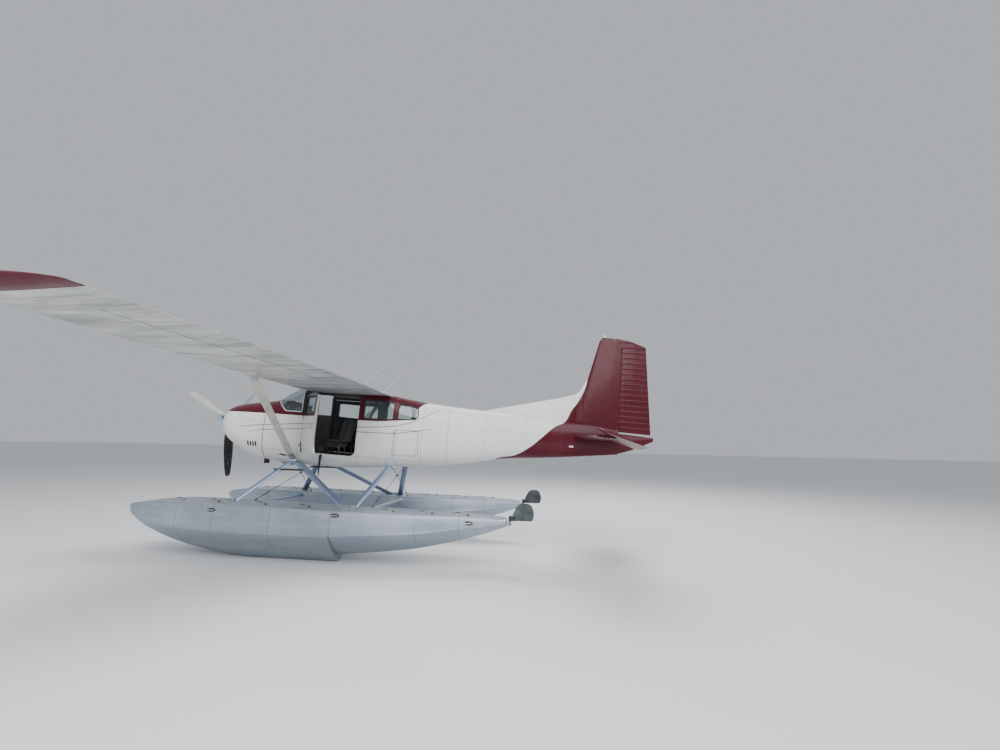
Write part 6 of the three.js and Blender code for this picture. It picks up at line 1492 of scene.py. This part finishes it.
# The water rudders: an aluminium plate on each stern, swung up on the pin of a forked steering
# head, whose post turns in two drilled lugs. A small tiller arm crosses the head's top.
rudder_plate = blank("dark_rudder_plate")
plate_place = drawn_place(rudder_plate)[0]
lay(rudder_plate,
    mixed(rudder_plate, ramped(rudder_plate, grain(rudder_plate, plate_place, 7, 5.0), 0.35, 0.7),
          (0.045, 0.058, 0.062), (0.10, 0.115, 0.11)), 0.55,
    times(rudder_plate, grain(rudder_plate, plate_place, 12), 0.002), metallic=0.3)
head_black = mottled("steering_head_enamel", 40, 4.0, (0.018, 0.019, 0.020), (0.07, 0.07, 0.07),
                     0.5, metallic=0.4)
PIN_X, PIN_Z = 5.640, 0.700
PLATE = [(5.618, 0.672, 0.002), (5.900, 0.672, 0.030), (5.930, 0.770, 0.060), (5.880, 0.915, 0.070),
         (5.700, 0.915, 0.070), (5.618, 0.765, 0.010)]
for side, hand in ((-1, "left"), (1, "right")):
    y = FLOAT_Y
    post = bar("post", [(POST_X, y, z) for z in (0.598, 0.601, 0.722, 0.725)],
               [0.014, 0.0168, 0.0168, 0.014], 28, out=(1, 0, 0))
    fork = pushed(rounded(four(5.563, 0.670, 5.664, 0.735, 0.008, 0.014)), y - 0.015, y + 0.015)
    carved(fork, pushed(four(5.598, 0.66, 5.70, 0.75), y - 0.0056, y + 0.0056))
    pin = bar("pin", [(PIN_X, y + out, PIN_Z) for out in (-0.0155, 0.0155)], 0.006, 20, out=(0, 0, 1))
    arm = pushed(rounded(four(5.566, y - 0.075, 5.592, y + 0.075, 0.008)), 0.7285, 0.7345, "z")
    carved(post, fork, how="UNION")
    fastened(handed(joined(post, pin, arm), side), f"steering_head_{hand}", f"{hand}_water_rudder_head",
             "strut_metal", head_black, instead_of=(f"water_rudder_head_{hand}",), axes=LEVEL, crease=40)
    plate = pushed(rounded(PLATE, 10), y - 0.0048, y + 0.0048)
    carved(plate, bar("hole", [(PIN_X, y + out, PIN_Z) for out in (-0.02, 0.02)], 0.0068, 24, out=(0, 0, 1)))
    fastened(handed(plate, side), f"rudder_blade_plate_{hand}", f"{hand}_water_rudder_blade",
             "dark_trim", rudder_plate, instead_of=(f"water_rudder_blade_{hand}",), axes=LEVEL, crease=40)

# The small trim: three whip aerials on the roof, filler caps on the wings, a step across the
# heads of each pair of front legs, a drain pipe under the belly, and a small white plate on
# the tail cone.
whip_grey = mottled("aerial_grey", 70, 3.0, (0.55, 0.56, 0.56), (0.72, 0.73, 0.73), 0.4)


def on_top(at, along):
    """A place on the upper skin of a wing station."""
    return on_station(at, along, float(np.interp(along, *zip(*sorted(section()[:37])))))


whips = []
for along, y, aft, up in ((0.445, -0.12, 0.21, 0.28), (0.495, 0.10, 0.42, 0.42), (0.80, 0.0, 0.33, 0.40)):
    a = on_top({**ROOT, "y": y}, along) - Vector((0, 0, 0.004))
    b = a + Vector((aft, 0, up))
    whips.append(bar("whip", [a, a.lerp(b, 0.08), a.lerp(b, 0.5), b], [0.006, 0.004, 0.0035, 0.0022], 8))
    foot = [a + Vector((x, 0, z)) for x, z in ((0, 0), (0.003, 0.018), (0.010, 0.034))]
    whips.append(bar("foot", foot, [0.020, 0.017, 0.008], 16, out=(1, 0, 0)))
fastened(joined(*whips), "whip_aerials", "airframe", "dark_trim", whip_grey)

for side, hand in ((-1, "left"), (1, "right")):
    cap_at = on_top(wing_station(1.25), 0.22)
    caps = [bar("cap", [cap_at + Vector((0, 0, z)) for z in (-0.012, 0.010, 0.014)],
                [0.045, 0.045, 0.038], 28, out=(1, 0, 0)),
            bar("tab", [cap_at + Vector((x, 0, 0.018)) for x in (-0.030, 0.030)], 0.006, 8)]
    fastened(handed(joined(*caps), side), f"fuel_cap_{hand}", "airframe", "strut_metal", bare_metal)
    tread = pushed(rounded(four(1.562, 0.548, 2.091, 0.608, 0.010)), 1.249, 1.277, "z")
    fastened(handed(tread, side), f"entry_step_{hand}", "airframe", "dark_trim", head_black, axes=LEVEL)

belly = [(x, -0.10, through(BODY, x)[1] - 0.006) for x in np.linspace(1.42, 1.86, 8)]
drain = bar("drain", belly, [0.006, 0.012, 0.014, 0.014, 0.014, 0.014, 0.012, 0.006], 12)
fastened(drain, "belly_drain_bar", "airframe", "dark_trim", soot_and_shade)
label_white = mottled("white_plate_enamel", 40, 3.0, WHITE, (0.70, 0.70, 0.68), 0.4)
tag = carved(body_block(6.3, 6.7, -0.0016, 0.05), body_block(6.29, 6.71, 0.0016, 0.05))
carved(tag, pushed(four(6.440, 0.003, 6.508, -0.022), -0.6, -0.02), how="INTERSECT")
fastened(tag, "tail_plate", "airframe", "white_paint", label_white)
